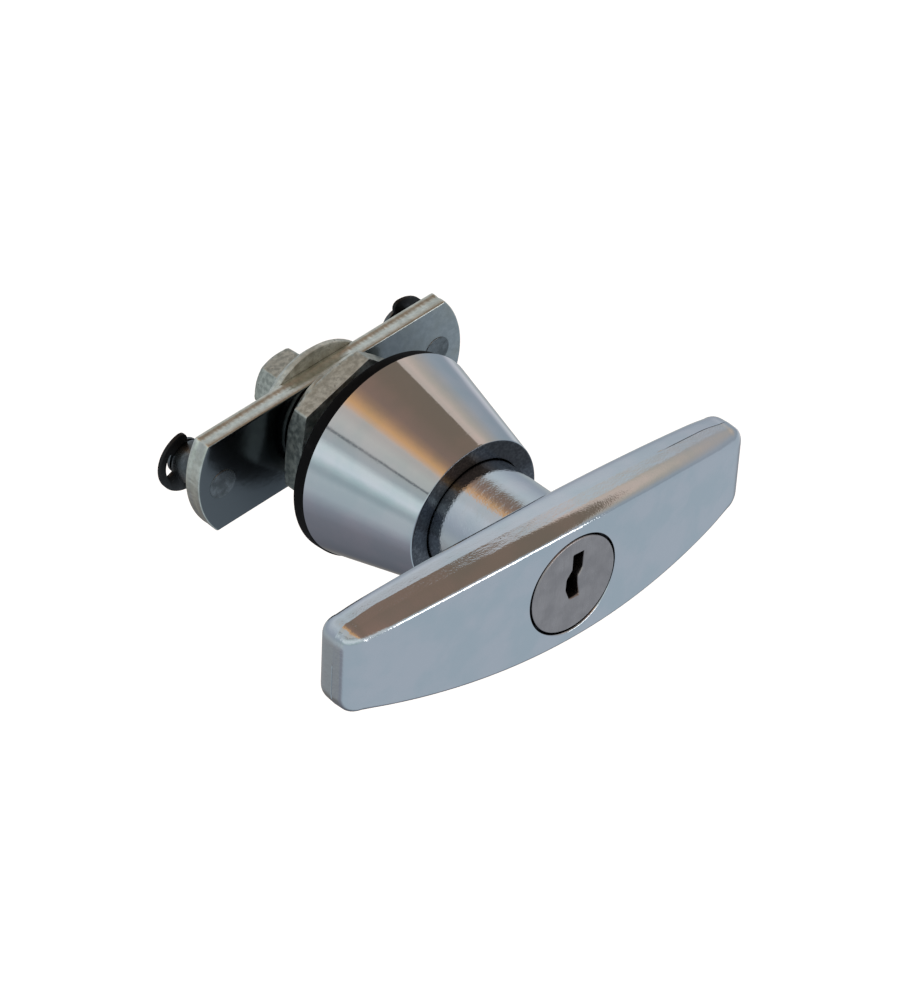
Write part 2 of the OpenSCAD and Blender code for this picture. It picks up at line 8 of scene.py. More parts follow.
import bmesh
import bpy
import numpy as np
from mathutils import Matrix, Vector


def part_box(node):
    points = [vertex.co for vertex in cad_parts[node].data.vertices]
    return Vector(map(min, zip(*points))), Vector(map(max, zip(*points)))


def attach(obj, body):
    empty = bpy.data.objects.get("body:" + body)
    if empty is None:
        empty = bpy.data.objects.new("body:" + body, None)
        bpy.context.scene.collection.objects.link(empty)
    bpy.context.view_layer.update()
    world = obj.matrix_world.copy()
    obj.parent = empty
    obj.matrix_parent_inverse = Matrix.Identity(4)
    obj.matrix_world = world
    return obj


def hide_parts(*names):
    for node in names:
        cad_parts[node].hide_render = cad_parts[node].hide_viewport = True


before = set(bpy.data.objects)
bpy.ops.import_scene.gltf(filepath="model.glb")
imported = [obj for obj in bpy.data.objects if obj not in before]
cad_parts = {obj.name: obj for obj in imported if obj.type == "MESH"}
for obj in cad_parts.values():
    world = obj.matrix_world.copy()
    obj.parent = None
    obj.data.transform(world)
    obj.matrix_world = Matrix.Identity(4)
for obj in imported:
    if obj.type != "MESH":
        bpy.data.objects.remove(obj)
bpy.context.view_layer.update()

MM = 0.001


def low(node):
    """Lowest corner of a CAD node, in millimetres."""
    return np.array(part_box(node)[0]) / MM


def high(node):
    """Highest corner of a CAD node, in millimetres."""
    return np.array(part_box(node)[1]) / MM


# Sizes that the frame gives
BASE_Y = low("gasket")[1]
NOSE_Y = low("escutcheon")[1]
SPIGOT_END_Y = high("escutcheon")[1]
CONE_BASE_R = high("escutcheon")[0]
FRONT_Y = low("t_handle")[1]
BAR_HALF = high("t_handle")[0]
BAR_MID_HALF = high("t_handle")[2]
FACE_Y = low("key_plug")[1]
FACE_R = high("key_plug")[0]
PLATE_Y, PLATE_BACK_Y = low("cam_plate")[1], high("cam_plate")[1]
DISC_BACK_Y, DISC_R = high("retaining_disc")[1], high("retaining_disc")[0]
SPRING_BACK_Y = high("spring_washer")[1]
HEAD_Y, HEAD_TOP_Y = high("plain_washer")[1], high("hex_bolt")[1]
BOLT_TIP_Y = low("hex_bolt")[1]
NUT_Y, NUT_BACK_Y = low("panel_nut")[1], high("panel_nut")[1]
THRUST_Y, THRUST_BACK_Y = low("thrust_washer")[1], high("thrust_washer")[1]
PLAIN_R = high("plain_washer")[0]
SPRING_R = high("spring_washer")[0]

# Sizes of the grip bar, its neck and the spindle
BAR_END_HALF, BAR_END_ROUND = 8.0, 3.5
BAR_SWEEP = 5.3
BAR_MID_T, BAR_END_T = 10.5, 8.6
FRONT_ROUND, FRONT_ROLL, BACK_ROUND = 2.2, 3.3, 2.7
BAR_DRAFT = 0.03
NECK_R, NECK_FILLET = 10.7, 0.9
SPINDLE_R, SQUARE_HALF, SQUARE_END_Y = 7.75, 5.0, 15.8
SHOULDER_Y = -8.15
SEAL_Y, SEAL_GROOVE_R, SEAL_ROOM = -22.4, 9.17, 2.2
PLUG_HOLE_R, PLUG_BORE_R, PLUG_FLANGE = 9.86, 7.08, 2.4
CHAMBER_BACK_Y, CHAMBER_FRONT_Y, CHAMBER_HALF = -12.55, -16.65, 4.08
PIN_Y, PIN_Z, PIN_HOLE_R = -19.45, 7.0, 1.3
HOLE_EDGE, SEAT_PLAY = 0.3, 0.05
PARTING_DEPTH = 0.15

# Sizes of the key plug
PLUG_R, PLUG_TAIL_Y = 7.0, -16.65
PIN_GROOVE_R, PIN_GROOVE_HALF = 5.6, 1.4
SLOT_HALF, SLOT_REACH, SLOT_PLAY = 3.58, 8.0, 0.08
SPRING_ROOM_X, SPRING_ROOM_Z = (3.4, 5.4), (-3.51, 1.8)
KEY_DEPTH, KEY_BEVEL = 20.4, 0.3
KEYWAY = [
    (-0.5, 6.4, 0.15), (2.0, 6.3, 0.1), (1.9, 2.8, 0.5), (0.9, 1.3, 0.5), (1.0, -0.3, 0.8),
    (1.5, -2.8, 0.15), (-0.8, -2.8, 0.3), (-1.8, -0.4, 1.2), (-1.7, 1.8, 1.0), (-0.5, 3.3, 0.8),
]

# Sizes of the cone, its spigot, the gasket and the nut
CONE_NOSE_R, NOSE_ROUND, CONE_BASE_EDGE = 14.5, 0.4, 0.3
LIP_R, LIP_EDGE, LIP_DEPTH, LIP_SLOPE = NECK_R + 0.16, 0.12, 0.9, 0.4
CONE_BORE_R, FLOOR_Y = 11.1, -8.0
POCKET_R, POCKET_START, POCKET_SWEEP, POCKET_DEEP = (12.7, 17), 12, 66, 1.5
SPIGOT_R, SPIGOT_FLAT, SPIGOT_BORE_R = 11.0, 10.3, 7.95
THREAD_PITCH, THREAD_DEPTH = 1.5, 0.86
NOTCH_HALF, NOTCH_REACH, NOTCH_PLAY = 4.35, 14.76, 0.05
NUT_FLATS, NUT_TURN, NUT_BEVEL = 27.0, 23.5, 25.0
GASKET_DROP, GASKET_PLAY = 0.7, 0.08

# Sizes of the bolt and what it holds
BOLT_R, BOLT_HOLE_END_Y, BOLT_PLAY = 3.0, -0.3, 0.2
BOLT_PITCH, BOLT_THREAD = 1.0, 0.55
HEAD_FLATS, HEAD_TURN, HEAD_BEVEL = 11.0, 15.5, 30.0
DISC_CHAMFER, DISC_STEP = 1.7, 0.06
SPRING_GAP, SPRING_SLANT = 4.0, 0.45

# Sizes of the cam plate, its studs and clips
PLATE_LEN, PLATE_W, PLATE_END_R = 61.6, 19.8, 17.0
PLATE_TURN, PLATE_HOLE_HALF = 6.9, 5.6
PLATE_ROLL, PLATE_ROLL_DEPTH, PLATE_BACK_EDGE = 0.45, 0.32, 0.12
PLATE_EDGE = ((0.22, 0), (0.36, 0), (0.4, 0.03), (0.44, 0.06), (0.55, 0.08), (0.66, 0.08), (0.74, 0.05),
              (0.8, 0.01), (0.86, 0), (0.93, 0))
STUD_X = {"left": -25.5, "right": 24.9}
STUD_R, STUD_END_R, STUD_REACH, TENON_R = 3.8, 3.5, 7.8, 2.4
RIVET_R, RIVET_RISE = 2.85, 0.12
CLIP_R, CLIP_HUB_R, CLIP_BAND, CLIP_T = 6.3, 3.05, 1.4, 0.8
CLIP_Y, CLIP_GROOVE_R, CLIP_PLAY = PLATE_BACK_Y + 5.9, 2.7, 0.3
CLIP_TURN = {"left": 45.0, "right": 145.0}
CLIP_MOUTH, CLIP_PRONG = 80.0, 52.0
CLIP_TIP_ROUND, CLIP_CORNER_ROUND = 1.3, 0.3


def softstep(x, x0, x1):
    """0 at x0, 1 at x1, and a smooth cubic between."""
    t = np.clip((x - x0) / (x1 - x0), 0, 1)
    return t * t * (3 - 2 * t)


def softmin(a, b, blend):
    """The lower of a and b, rounded where they cross: (a + b - sqrt((a - b)² + blend²)) / 2."""
    return (a + b - np.sqrt((a - b) ** 2 + blend ** 2)) / 2


def rounded(corners, steps):
    """Path through corners (a, b, radius), each one replaced by the arc that touches its two sides.

    A corner of radius 0 stays, and so both ends of an open path have it.
    """
    points = np.array([complex(a, b) for a, b, _ in corners])
    path = []
    for i, (_, _, radius) in enumerate(corners):
        if radius == 0:
            path.append(points[i:i + 1])
            continue
        before = points[i - 1] - points[i]
        after = points[(i + 1) % len(points)] - points[i]
        before, after = before / abs(before), after / abs(after)
        half = abs(np.angle(after / before)) / 2
        centre = points[i] + (before + after) / abs(before + after) * radius / math.sin(half)
        start = points[i] + before * radius / math.tan(half) - centre
        sweep = np.angle((points[i] + after * radius / math.tan(half) - centre) / start)
        path.append(centre + start * np.exp(1j * sweep * np.linspace(0, 1, steps + 1)))
    return np.concatenate(path)


def even(path, count):
    """The same closed path with count points at equal steps of its length."""
    path = np.append(path, path[:1])
    run = np.concatenate([[0], np.cumsum(abs(np.diff(path)))])
    at = np.linspace(0, run[-1], count, endpoint=False)
    return np.interp(at, run, path.real) + 1j * np.interp(at, run, path.imag)


def outward(outline):
    """Unit normals of a closed outline that runs anticlockwise, pointing out of it."""
    along = np.roll(outline, -1) - np.roll(outline, 1)
    return -1j * along / abs(along)


def row(outline, y):
    """Points of one row: the outline in X and Z, at y along the spindle."""
    return np.stack([outline.real, np.broadcast_to(y, outline.shape), outline.imag], -1)


def circle(count):
    """Unit circle x + iz with count points."""
    return np.exp(1j * np.linspace(0, 2 * math.pi, count, endpoint=False))


def held(path, reach=0.12):
    """The path with a point near both ends of each long stretch, so that it is shaded straight."""
    way = np.diff(path)
    long = abs(way) > 4 * reach
    step = np.where(long, way / np.maximum(abs(way), reach) * reach, np.nan)
    points = np.stack([path[:-1], path[:-1] + step, path[1:] - step], 1).reshape(-1)
    return np.append(points[~np.isnan(points)], path[-1])


def turned(profile, count=256):
    """Profile (radius + iy) turned about the spindle, a row for each point: x = r cos a, z = r sin a."""
    return np.stack([row(p.real * circle(count), p.imag) for p in held(profile)])


def spun(points, degrees):
    """The points turned about the spindle axis, from X towards Z."""
    way = (points[..., 0] + 1j * points[..., 2]) * np.exp(1j * math.radians(degrees))
    return np.stack([way.real, points[..., 1], way.imag], -1)


def thread_wave(y, count, pitch):
    """Triangle wave from 0 to 1 that climbs by one pitch a turn, at the levels y and count angles."""
    angle = np.linspace(0, 1, count, endpoint=False)
    return abs((y[:, None] / pitch - angle) % 1 - 0.5) * 2


def hexagon(flats, turn, radius, count):
    """Hexagon x + iz across its flats, with rounded corners, from count points at equal steps."""
    corners = flats / math.sqrt(3) * np.exp(1j * (math.radians(turn) + np.arange(6) * math.pi / 3))
    return even(rounded([(c.real, c.imag, radius) for c in corners], 8), count)


def box_rows(x, y, z):
    """Rows of a block between the pairs x, y and z, with its long way along Y."""
    corners = np.array([x[0], x[1], x[1], x[0]]) + 1j * np.array([z[0], z[0], z[1], z[1]])
    return np.stack([row(corners, level) for level in y])


def arc_rows(r0, r1, y, start, sweep, count=24):
    """Rows of a block of an annulus between r0 and r1, from the angle start on, in degrees."""
    ring = np.exp(1j * np.radians(start + sweep * np.linspace(0, 1, count)))
    outline = np.concatenate([r1 * ring, r0 * ring[::-1]])
    return np.stack([row(outline, level) for level in y])


def quads(rows, cols, ring):
    """Corner numbers of the faces between neighbouring rows; the columns close, and so do a ring's rows."""
    i = np.arange(rows if ring else rows - 1)[:, None]
    j = np.arange(cols)[None, :]
    up, side = (i + 1) % rows, (j + 1) % cols
    return np.stack([i * cols + j, i * cols + side, up * cols + side, up * cols + j], -1).reshape(-1, 4)


def volume(points, faces):
    """Signed volume inside the faces: the sum of a . (b x c) / 6 over their triangles."""
    a, b, c, d = (points[faces[:, k]] for k in range(4))
    return float((np.cross(b, c) * a).sum() + (np.cross(c, d) * a).sum()) / 6


def solid(name, grid, ring=False):
    """A closed mesh object from rows of points: the end rows of one that isn't a ring become flat faces."""
    rows, cols = grid.shape[:2]
    points = grid.reshape(-1, 3)
    faces = quads(rows, cols, ring)
    caps = [] if ring else [np.arange(cols)[::-1], (rows - 1) * cols + np.arange(cols)]
    if volume(points - points.mean(0), faces) < 0:
        faces = faces[:, ::-1]
        caps = [cap[::-1] for cap in caps]
    corners = np.concatenate([faces.reshape(-1), *caps]).astype(np.int32)
    starts = np.concatenate([np.arange(0, faces.size, 4), faces.size + cols * np.arange(len(caps))])
    mesh = bpy.data.meshes.new(name)
    mesh.vertices.add(len(points))
    mesh.vertices.foreach_set("co", (points * MM).astype(np.float32).reshape(-1))
    mesh.loops.add(len(corners))
    mesh.loops.foreach_set("vertex_index", corners)
    mesh.polygons.add(len(starts))
    mesh.polygons.foreach_set("loop_start", starts.astype(np.int32))
    mesh.update(calc_edges=True)
    thing = bpy.data.objects.new(name, mesh)
    bpy.context.scene.collection.objects.link(thing)
    close_seams(mesh)
    return thing


def close_seams(mesh, reach=2e-7):
    """Merges points that lie together, such as those of a pole."""
    work = bmesh.new()
    work.from_mesh(mesh)
    bmesh.ops.remove_doubles(work, verts=work.verts, dist=reach)
    bmesh.ops.dissolve_degenerate(work, edges=work.edges, dist=reach)
    work.to_mesh(mesh)
    work.free()


def combine(target, tools, operation="DIFFERENCE"):
    """Cuts the tools out of target, or joins them to it, and deletes them."""
    for tool in tools:
        change = target.modifiers.new(tool.name, "BOOLEAN")
        change.operation = operation
        change.solver = "MANIFOLD"
        change.object = tool
    bpy.context.view_layer.update()
    done = target.evaluated_get(bpy.context.evaluated_depsgraph_get())
    mesh = bpy.data.meshes.new_from_object(done)
    target.modifiers.clear()
    target.data = mesh
    for tool in tools:
        bpy.data.objects.remove(tool)


def smooth(thing, degrees=32.0):
    """Shades the piece smooth, but for edges sharper than the angle."""
    mesh = thing.data
    mesh.polygons.foreach_set("use_smooth", np.ones(len(mesh.polygons), bool))
    mesh.set_sharp_from_angle(angle=math.radians(degrees))
    return thing


def bar_front(x):
    """Front face of the bar: it sweeps back as the square of the distance from the middle."""
    return FRONT_Y + BAR_SWEEP * (x / BAR_HALF) ** 2


def bar_thick(x):
    """Thickness of the bar, which falls as the square of the distance from the middle."""
    return BAR_MID_T + (BAR_END_T - BAR_MID_T) * (x / BAR_HALF) ** 2


def bar_outline(count):
    """Outline of the bar: long edges that bow as a parabola, and short ends between round corners."""
    reach = BAR_HALF - BAR_END_ROUND
    x = np.linspace(reach, -reach, 400)
    top = BAR_END_HALF + (BAR_MID_HALF - BAR_END_HALF) * (1 - (x / BAR_HALF) ** 2)
    turn = np.linspace(0, math.pi / 2, 24)[1:]
    bend = BAR_END_ROUND * (np.sin(turn) + 1j * (np.cos(turn) - 1))
    left = -reach - bend.real + 1j * (top[-1] + bend.imag)
    right = (reach + bend.real + 1j * (top[0] + bend.imag))[::-1]
    upper = np.concatenate([right, x + 1j * top, left])
    return even(np.concatenate([upper, upper[::-1].conj()]), count)


def parting_groove(outline):
    """Depth of the parting line, which shows low on the left end and along the top at the right."""
    left_end = softstep(-outline.real, 43, 45.5)
    low_down = softstep(-outline.imag, -1.5, 0) * softstep(outline.imag, -7, -5)
    top_right = softstep(outline.real, 24, 30) * softstep(outline.imag, 0, 4)
    return PARTING_DEPTH * (left_end * low_down + top_right).clip(0, 1)


def bar_rows(outline):
    """Rows of the grip bar, from the rim of the plug's hole over front, side and back to the neck.

    A flat stretch is a straight blend between two outlines. An edge is a quarter turn t: the outline
    drawn in by r (1 - sin t) and moved along the spindle by d (1 - cos t). The side leans in from its
    parting line.
    """
    normal = outward(outline)
    ring = outline / abs(outline)
    near_end = softstep(abs(outline.real), BAR_HALF - 9, BAR_HALF)
    front_r = FRONT_ROUND + 0.9 * near_end
    front_d = FRONT_ROLL - 1.2 * near_end
    back_r = BACK_ROUND + 0.6 * near_end
    rows = []

    def add(shape, depth, back):
        """A row at a depth behind the front face or, with back, in front of the back face."""
        y0 = bar_front(shape.real)
        rows.append(row(shape, y0 + bar_thick(shape.real) - depth if back else y0 + depth))

    def lean(depth):
        """The outline drawn in by the draft, at a depth from the parting line."""
        return outline - normal * BAR_DRAFT * abs(depth)

    for t in np.linspace(0, math.pi / 2, 4):
        add((PLUG_HOLE_R + HOLE_EDGE * (1 - math.cos(t))) * ring, HOLE_EDGE * (1 - math.sin(t)), False)
    inner = (PLUG_HOLE_R + HOLE_EDGE) * ring
    outer = lean(3) - normal * front_r
    for w in np.linspace(0, 1, 24)[1:]:
        add(inner + (outer - inner) * w, 0, False)
    for t in np.linspace(0, math.pi / 2, 18)[1:]:
        add(lean(3) - normal * front_r * (1 - math.sin(t)), front_d * (1 - math.cos(t)), False)
    groove = parting_groove(outline)
    wall = bar_thick(outline.real) - front_d - back_r
    for w in (0.15, 0.3, 0.42, 0.47, 0.49, 0.51, 0.53, 0.58, 0.7, 0.85):
        deep = groove if abs(w - 0.5) < 0.02 else 0
        add(lean(6 * (w - 0.5)) - normal * deep, front_d + wall * w, False)
    for t in np.linspace(0, math.pi / 2, 10):
        add(lean(3) - normal * back_r * (1 - math.cos(t)), back_r * (1 - math.sin(t)), True)
    outer = lean(3) - normal * back_r
    inner = (NECK_R + NECK_FILLET) * ring
    for w in np.linspace(0, 1, 20)[1:]:
        add(outer + (inner - outer) * w, 0, True)
    return rows


def neck_rows(ring):
    """Rows of the neck behind the bar: fillet, neck, seal groove, shoulder, spindle, square, bolt hole."""
    back = FRONT_Y + BAR_MID_T
    seal_front, seal_back = SEAL_Y - SEAL_ROOM / 2, SEAL_Y + SEAL_ROOM / 2
    neck = rounded([
        (NECK_R, back + NECK_FILLET, 0), (NECK_R, seal_front, 0.15), (SEAL_GROOVE_R, seal_front, 0.2),
        (SEAL_GROOVE_R, seal_back, 0.2), (NECK_R, seal_back, 0.15), (NECK_R, SHOULDER_Y - 0.4, 0),
        (NECK_R - 0.4, SHOULDER_Y, 0), (SPINDLE_R, SHOULDER_Y, 0.3), (SPINDLE_R, PLATE_Y, 0),
    ], 3)
    turn = np.linspace(math.pi / 2, 0, 5)[:-1]
    fillet = NECK_R + NECK_FILLET * (1 - np.cos(turn)) + 1j * (back + NECK_FILLET * (1 - np.sin(turn)))
    rows = [row(p.real * ring, p.imag) for p in held(np.concatenate([fillet, neck]))]
    square = SQUARE_HALF * ring / np.maximum(abs(ring.real), abs(ring.imag))
    rows += [row(square, PLATE_Y), row(square, SQUARE_END_Y)]
    hole = ((BOLT_R, SQUARE_END_Y), (BOLT_R, BOLT_HOLE_END_Y), (0, BOLT_HOLE_END_Y - 1.5))
    return rows + [row(r * ring, y) for r, y in hole]


def t_handle_casting():
    """Grip bar, neck and spindle in one skin, with the plug's bore, the lock chamber and the pin's hole."""
    outline = bar_outline(640)
    ring = outline / abs(outline)
    seat_y = FACE_Y + PLUG_FLANGE + SEAT_PLAY
    back_y = CHAMBER_BACK_Y
    bore = ((0, back_y), (PLUG_BORE_R, back_y), (PLUG_BORE_R, seat_y), (PLUG_HOLE_R, seat_y))
    inside = [row(r * ring, y) for r, y in bore]
    casting = solid("t_handle_casting", np.stack(inside + bar_rows(outline) + neck_rows(ring)))
    wide, deep, tall = (-CHAMBER_HALF, CHAMBER_HALF), (CHAMBER_FRONT_Y, CHAMBER_BACK_Y), (-NECK_R - 1, 0)
    chamber = solid("chamber", box_rows(wide, deep, tall))
    cross = turned(np.array([complex(PIN_HOLE_R, -12), complex(PIN_HOLE_R, 12)]), 32)
    cross = solid("cross_hole", np.stack([cross[..., 1], PIN_Y + cross[..., 0], PIN_Z + cross[..., 2]], -1))
    combine(casting, [chamber, cross])
    return smooth(casting)


def cone_shell():
    """Cone turned from its profile, with its bore, notches for the locking bolt and coring behind."""
    turn = np.linspace(math.pi / 2, 0, 7)
    nose = CONE_NOSE_R - NOSE_ROUND * (1 - np.sin(turn)) + 1j * (NOSE_Y + NOSE_ROUND * (1 - np.cos(turn)))
    flank = np.linspace(complex(CONE_BASE_R, BASE_Y - CONE_BASE_EDGE), nose[0], 16)[:-1]
    face = np.linspace(nose[-1], complex(LIP_R + LIP_EDGE, NOSE_Y), 6)[1:]
    inside = rounded([
        (LIP_R + LIP_EDGE, NOSE_Y, 0), (LIP_R, NOSE_Y + LIP_EDGE, 0), (LIP_R, NOSE_Y + LIP_DEPTH, 0),
        (CONE_BORE_R, NOSE_Y + LIP_DEPTH + LIP_SLOPE, 0), (CONE_BORE_R, FLOOR_Y, 0.2),
        (SPIGOT_BORE_R, FLOOR_Y, 0.1), (SPIGOT_BORE_R, BASE_Y, 0),
        (CONE_BASE_R - CONE_BASE_EDGE, BASE_Y, 0),
    ], 4)[1:]
    cone = solid("escutcheon_cone", turned(np.concatenate([flank, nose, face, inside]), 384), ring=True)
    levels = (CHAMBER_FRONT_Y - NOTCH_PLAY, CHAMBER_BACK_Y + NOTCH_PLAY)
    narrow, wide = (-NOTCH_HALF, NOTCH_HALF), (-NOTCH_REACH, NOTCH_REACH)
    tools = [solid("notch_across", box_rows(wide, levels, narrow))]
    tools.append(solid("notch_down", box_rows(narrow, levels, wide)))
    levels = (FLOOR_Y - POCKET_DEEP, BASE_Y + 1)
    for k in range(4):
        pocket = arc_rows(*POCKET_R, levels, 90 * k + POCKET_START, POCKET_SWEEP)
        tools.append(solid(f"pocket_{k}", pocket))
    combine(cone, tools)
    return smooth(cone)


def threaded_spigot():
    """Threaded spigot of the cone: its radius follows the thread's wave, and two flats cut it."""
    count = 384
    ring = circle(count)
    y = np.arange(BASE_Y - 0.1, SPIGOT_END_Y - 0.45, THREAD_PITCH / 12)
    wave = thread_wave(y, count, THREAD_PITCH)
    shown = softstep(y, -0.4, 0.8) * (1 - softstep(y, SPIGOT_END_Y - 1.6, SPIGOT_END_Y - 0.6))
    radius = SPIGOT_R - THREAD_DEPTH * np.clip(wave * 1.3 - 0.12, 0, 1) * shown[:, None]
    radius = softmin(radius, SPIGOT_FLAT / np.maximum(abs(ring.imag), 1e-3), 0.04)
    outer = np.stack([row(r * ring, level) for r, level in zip(radius, y)])
    end = turned(rounded([(SPIGOT_R - 0.25, SPIGOT_END_Y - 0.4, 0), (SPIGOT_R - 0.9, SPIGOT_END_Y, 0.1),
                          (SPIGOT_BORE_R, SPIGOT_END_Y, 0.2), (SPIGOT_BORE_R, BASE_Y - 0.1, 0)], 3),
                 count)
    flat = SPIGOT_FLAT / np.maximum(abs(end[..., 2]), 1e-3)
    end[..., 2] *= np.minimum(flat, 1)
    return smooth(solid("escutcheon_spigot", np.concatenate([outer, end]), ring=True))


def wafer_levels():
    """Places along the spindle where a wafer's face lies, front and back in turn."""
    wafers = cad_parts["wafers"].data
    corners = np.zeros(len(wafers.vertices) * 3, np.float32)
    wafers.vertices.foreach_get("co", corners)
    return np.unique(np.round(corners.reshape(-1, 3)[:, 1] / MM, 2))


def key_plug():
    """Plug with its turned face, the slots of its wafers, and a bevelled keyway.

    Each row of the keyway's mouth is its outline grown along its normals, most of all low at the right.
    """
    flange_back = FACE_Y + PLUG_FLANGE
    pin_front, pin_back = PIN_Y - PIN_GROOVE_HALF, PIN_Y + PIN_GROOVE_HALF
    profile = rounded([
        (0, FACE_Y, 0), (FACE_R, FACE_Y, 0.35), (FACE_R, flange_back, 0.1), (PLUG_R, flange_back, 0.1),
        (PLUG_R, pin_front, 0), (PIN_GROOVE_R, pin_front, 0), (PIN_GROOVE_R, pin_back, 0),
        (PLUG_R, pin_back, 0), (PLUG_R, PLUG_TAIL_Y, 0), (0, PLUG_TAIL_Y, 0),
    ], 5)
    plug = solid("key_plug_turned", turned(profile, 256))
    outline = even(rounded(KEYWAY, 4), 160)[::-1]
    normal = outward(outline)
    grow = KEY_BEVEL * (0.9 + 0.5 * softstep(outline.real, 0.3, 1.5) * softstep(-outline.imag, -0.5, 2.0))
    steps = ((1.6, -1.2), (0.55, 0.0), (0.2, 0.35), (0.0, 0.8), (0.0, 2.0))
    mouth = [row(outline + normal * grow * w, FACE_Y + grow * d) for w, d in steps]
    keyway = solid("keyway", np.stack(mouth + [row(outline, FACE_Y + KEY_DEPTH)]))
    tools = [keyway]
    levels = wafer_levels()
    thick = levels[1] - levels[0]
    for k, y in enumerate(levels[::2]):
        slot = (y - SLOT_PLAY, y + thick + SLOT_PLAY)
        tools.append(solid(f"slot_{k}", box_rows((-SLOT_HALF, SLOT_HALF), slot, (-SLOT_REACH, SLOT_REACH))))
        tools.append(solid(f"spring_room_{k}", box_rows(SPRING_ROOM_X, slot, SPRING_ROOM_Z)))
    combine(plug, tools)
    return smooth(plug, 28)


def hex_prism(name, flats, turn, y0, y1, bevel_deg, hole_r):
    """Hexagon with rounded corners, its radius held under a cone at its back, round a hole."""
    count = 576
    outline = hexagon(flats, turn, 0.5, count)
    ring = outline / abs(outline)
    slope = math.tan(math.radians(bevel_deg))
    bevel_r = 0.97 * flats / 2
    rows = []
    half = np.linspace(0, 1, 10) ** 1.6 * 0.5
    for t in np.concatenate([half, 1 - half[-2::-1]]):
        y = y0 + (y1 - y0) * t
        radius = softmin(abs(outline), bevel_r + (y1 - y) / slope, 0.12)
        rows.append(row(radius * ring, y))
    first = rows[0][..., 0] + 1j * rows[0][..., 2]
    final = rows[-1][..., 0] + 1j * rows[-1][..., 2]
    inner = hole_r * ring
    parts = (0.05, 0.35, 0.7, 0.96)
    front = [row(inner + (first - inner) * w, y0) for w in parts]
    back = [row(inner + (final - inner) * w, y1) for w in parts[::-1]]
    if hole_r == 0:
        return solid(name, np.stack([row(inner, y0), *front, *rows, *back, row(inner, y1)]))
    lip = 0.35
    bore = ((hole_r + lip, y1), (hole_r, y1 - lip), (hole_r, y0 + lip), (hole_r + lip, y0))
    return solid(name, np.stack(front + rows + back + [row(r * ring, y) for r, y in bore]), ring=True)


def panel_nut():
    """Thin hexagon nut: flat towards the door and chamfered behind."""
    nut = hex_prism("panel_nut_body", NUT_FLATS, NUT_TURN, NUT_Y, NUT_BACK_Y, NUT_BEVEL, SPIGOT_R + 0.05)
    return smooth(nut)


def hex_bolt():
    """Bolt with a chamfered head and a shank whose radius follows the thread's wave."""
    head = hex_prism("hex_bolt_body", HEAD_FLATS, HEAD_TURN, HEAD_Y, HEAD_TOP_Y, HEAD_BEVEL, 0)
    count = 96
    ring = circle(count)
    y = np.arange(BOLT_TIP_Y + 0.5, HEAD_Y + 0.5, BOLT_PITCH / 10)
    shown = softstep(y, BOLT_TIP_Y + 0.4, BOLT_TIP_Y + 1.4) * (1 - softstep(y, HEAD_Y - 2, HEAD_Y - 1))
    radius = BOLT_R - BOLT_THREAD * thread_wave(y, count, BOLT_PITCH) * shown[:, None]
    rows = [row(0 * ring, BOLT_TIP_Y), row((BOLT_R - 0.6) * ring, BOLT_TIP_Y)]
    rows += [row(r * ring, level) for r, level in zip(radius, y)]
    combine(head, [solid("shank", np.stack(rows))], "UNION")
    return smooth(head)


def plate_outline(count):
    """Outline of the cam plate: two straight edges and two arcs, with the corners between them broken."""
    end_x = PLATE_LEN / 2 - PLATE_END_R
    reach = math.asin(PLATE_W / 2 / PLATE_END_R)
    arc = PLATE_END_R * np.exp(1j * np.linspace(-reach, reach, 60))
    path = np.concatenate([end_x + arc, -end_x - arc])
    path = even(path, 2400)
    for _ in range(18):
        path = (np.roll(path, 1) + 2 * path + np.roll(path, -1)) / 4
    return even(path, count)


def cam_plate():
    """Blanked plate: its front edge is rolled over, and its sheared edge is torn towards the back.

    The tear is the sum of three sine waves that run round the outline.
    """
    count = 900
    outline = plate_outline(count)
    normal = outward(outline)
    ring = outline / abs(outline)
    hole = PLATE_HOLE_HALF * ring / np.maximum(abs(ring.real), abs(ring.imag))
    run = np.linspace(0, 1, count, endpoint=False) * 2 * math.pi
    tear = 0.035 * (np.sin(61 * run) + 0.6 * np.sin(97 * run + 1) + 0.5 * np.sin(151 * run + 2))
    rows = [row(hole, PLATE_Y)]
    edge = outline - normal * PLATE_ROLL
    for w in np.linspace(0, 1, 26)[1:]:
        rows.append(row(hole + (edge - hole) * w, PLATE_Y))
    for t in np.linspace(0, math.pi / 2, 7)[1:]:
        inset, depth = PLATE_ROLL * (1 - math.sin(t)), PLATE_ROLL_DEPTH * (1 - math.cos(t))
        rows.append(row(outline - normal * inset, PLATE_Y + depth))
    thick = PLATE_BACK_Y - PLATE_Y
    for w, deep in PLATE_EDGE:
        rough = tear * softstep(deep, 0.0, 0.08)
        rows.append(row(outline - normal * (deep + abs(rough)), PLATE_Y + thick * w))
    for t in np.linspace(0, math.pi / 2, 4)[1:]:
        inset, depth = PLATE_BACK_EDGE * (1 - math.cos(t)), PLATE_BACK_EDGE * (1 - math.sin(t))
        rows.append(row(outline - normal * inset, PLATE_BACK_Y - depth))
    edge = outline - normal * PLATE_BACK_EDGE
    for w in np.linspace(1, 0, 26)[1:]:
        rows.append(row(hole + (edge - hole) * w, PLATE_BACK_Y))
    return smooth(solid("cam_plate_blank", spun(np.stack(rows), PLATE_TURN), ring=True))


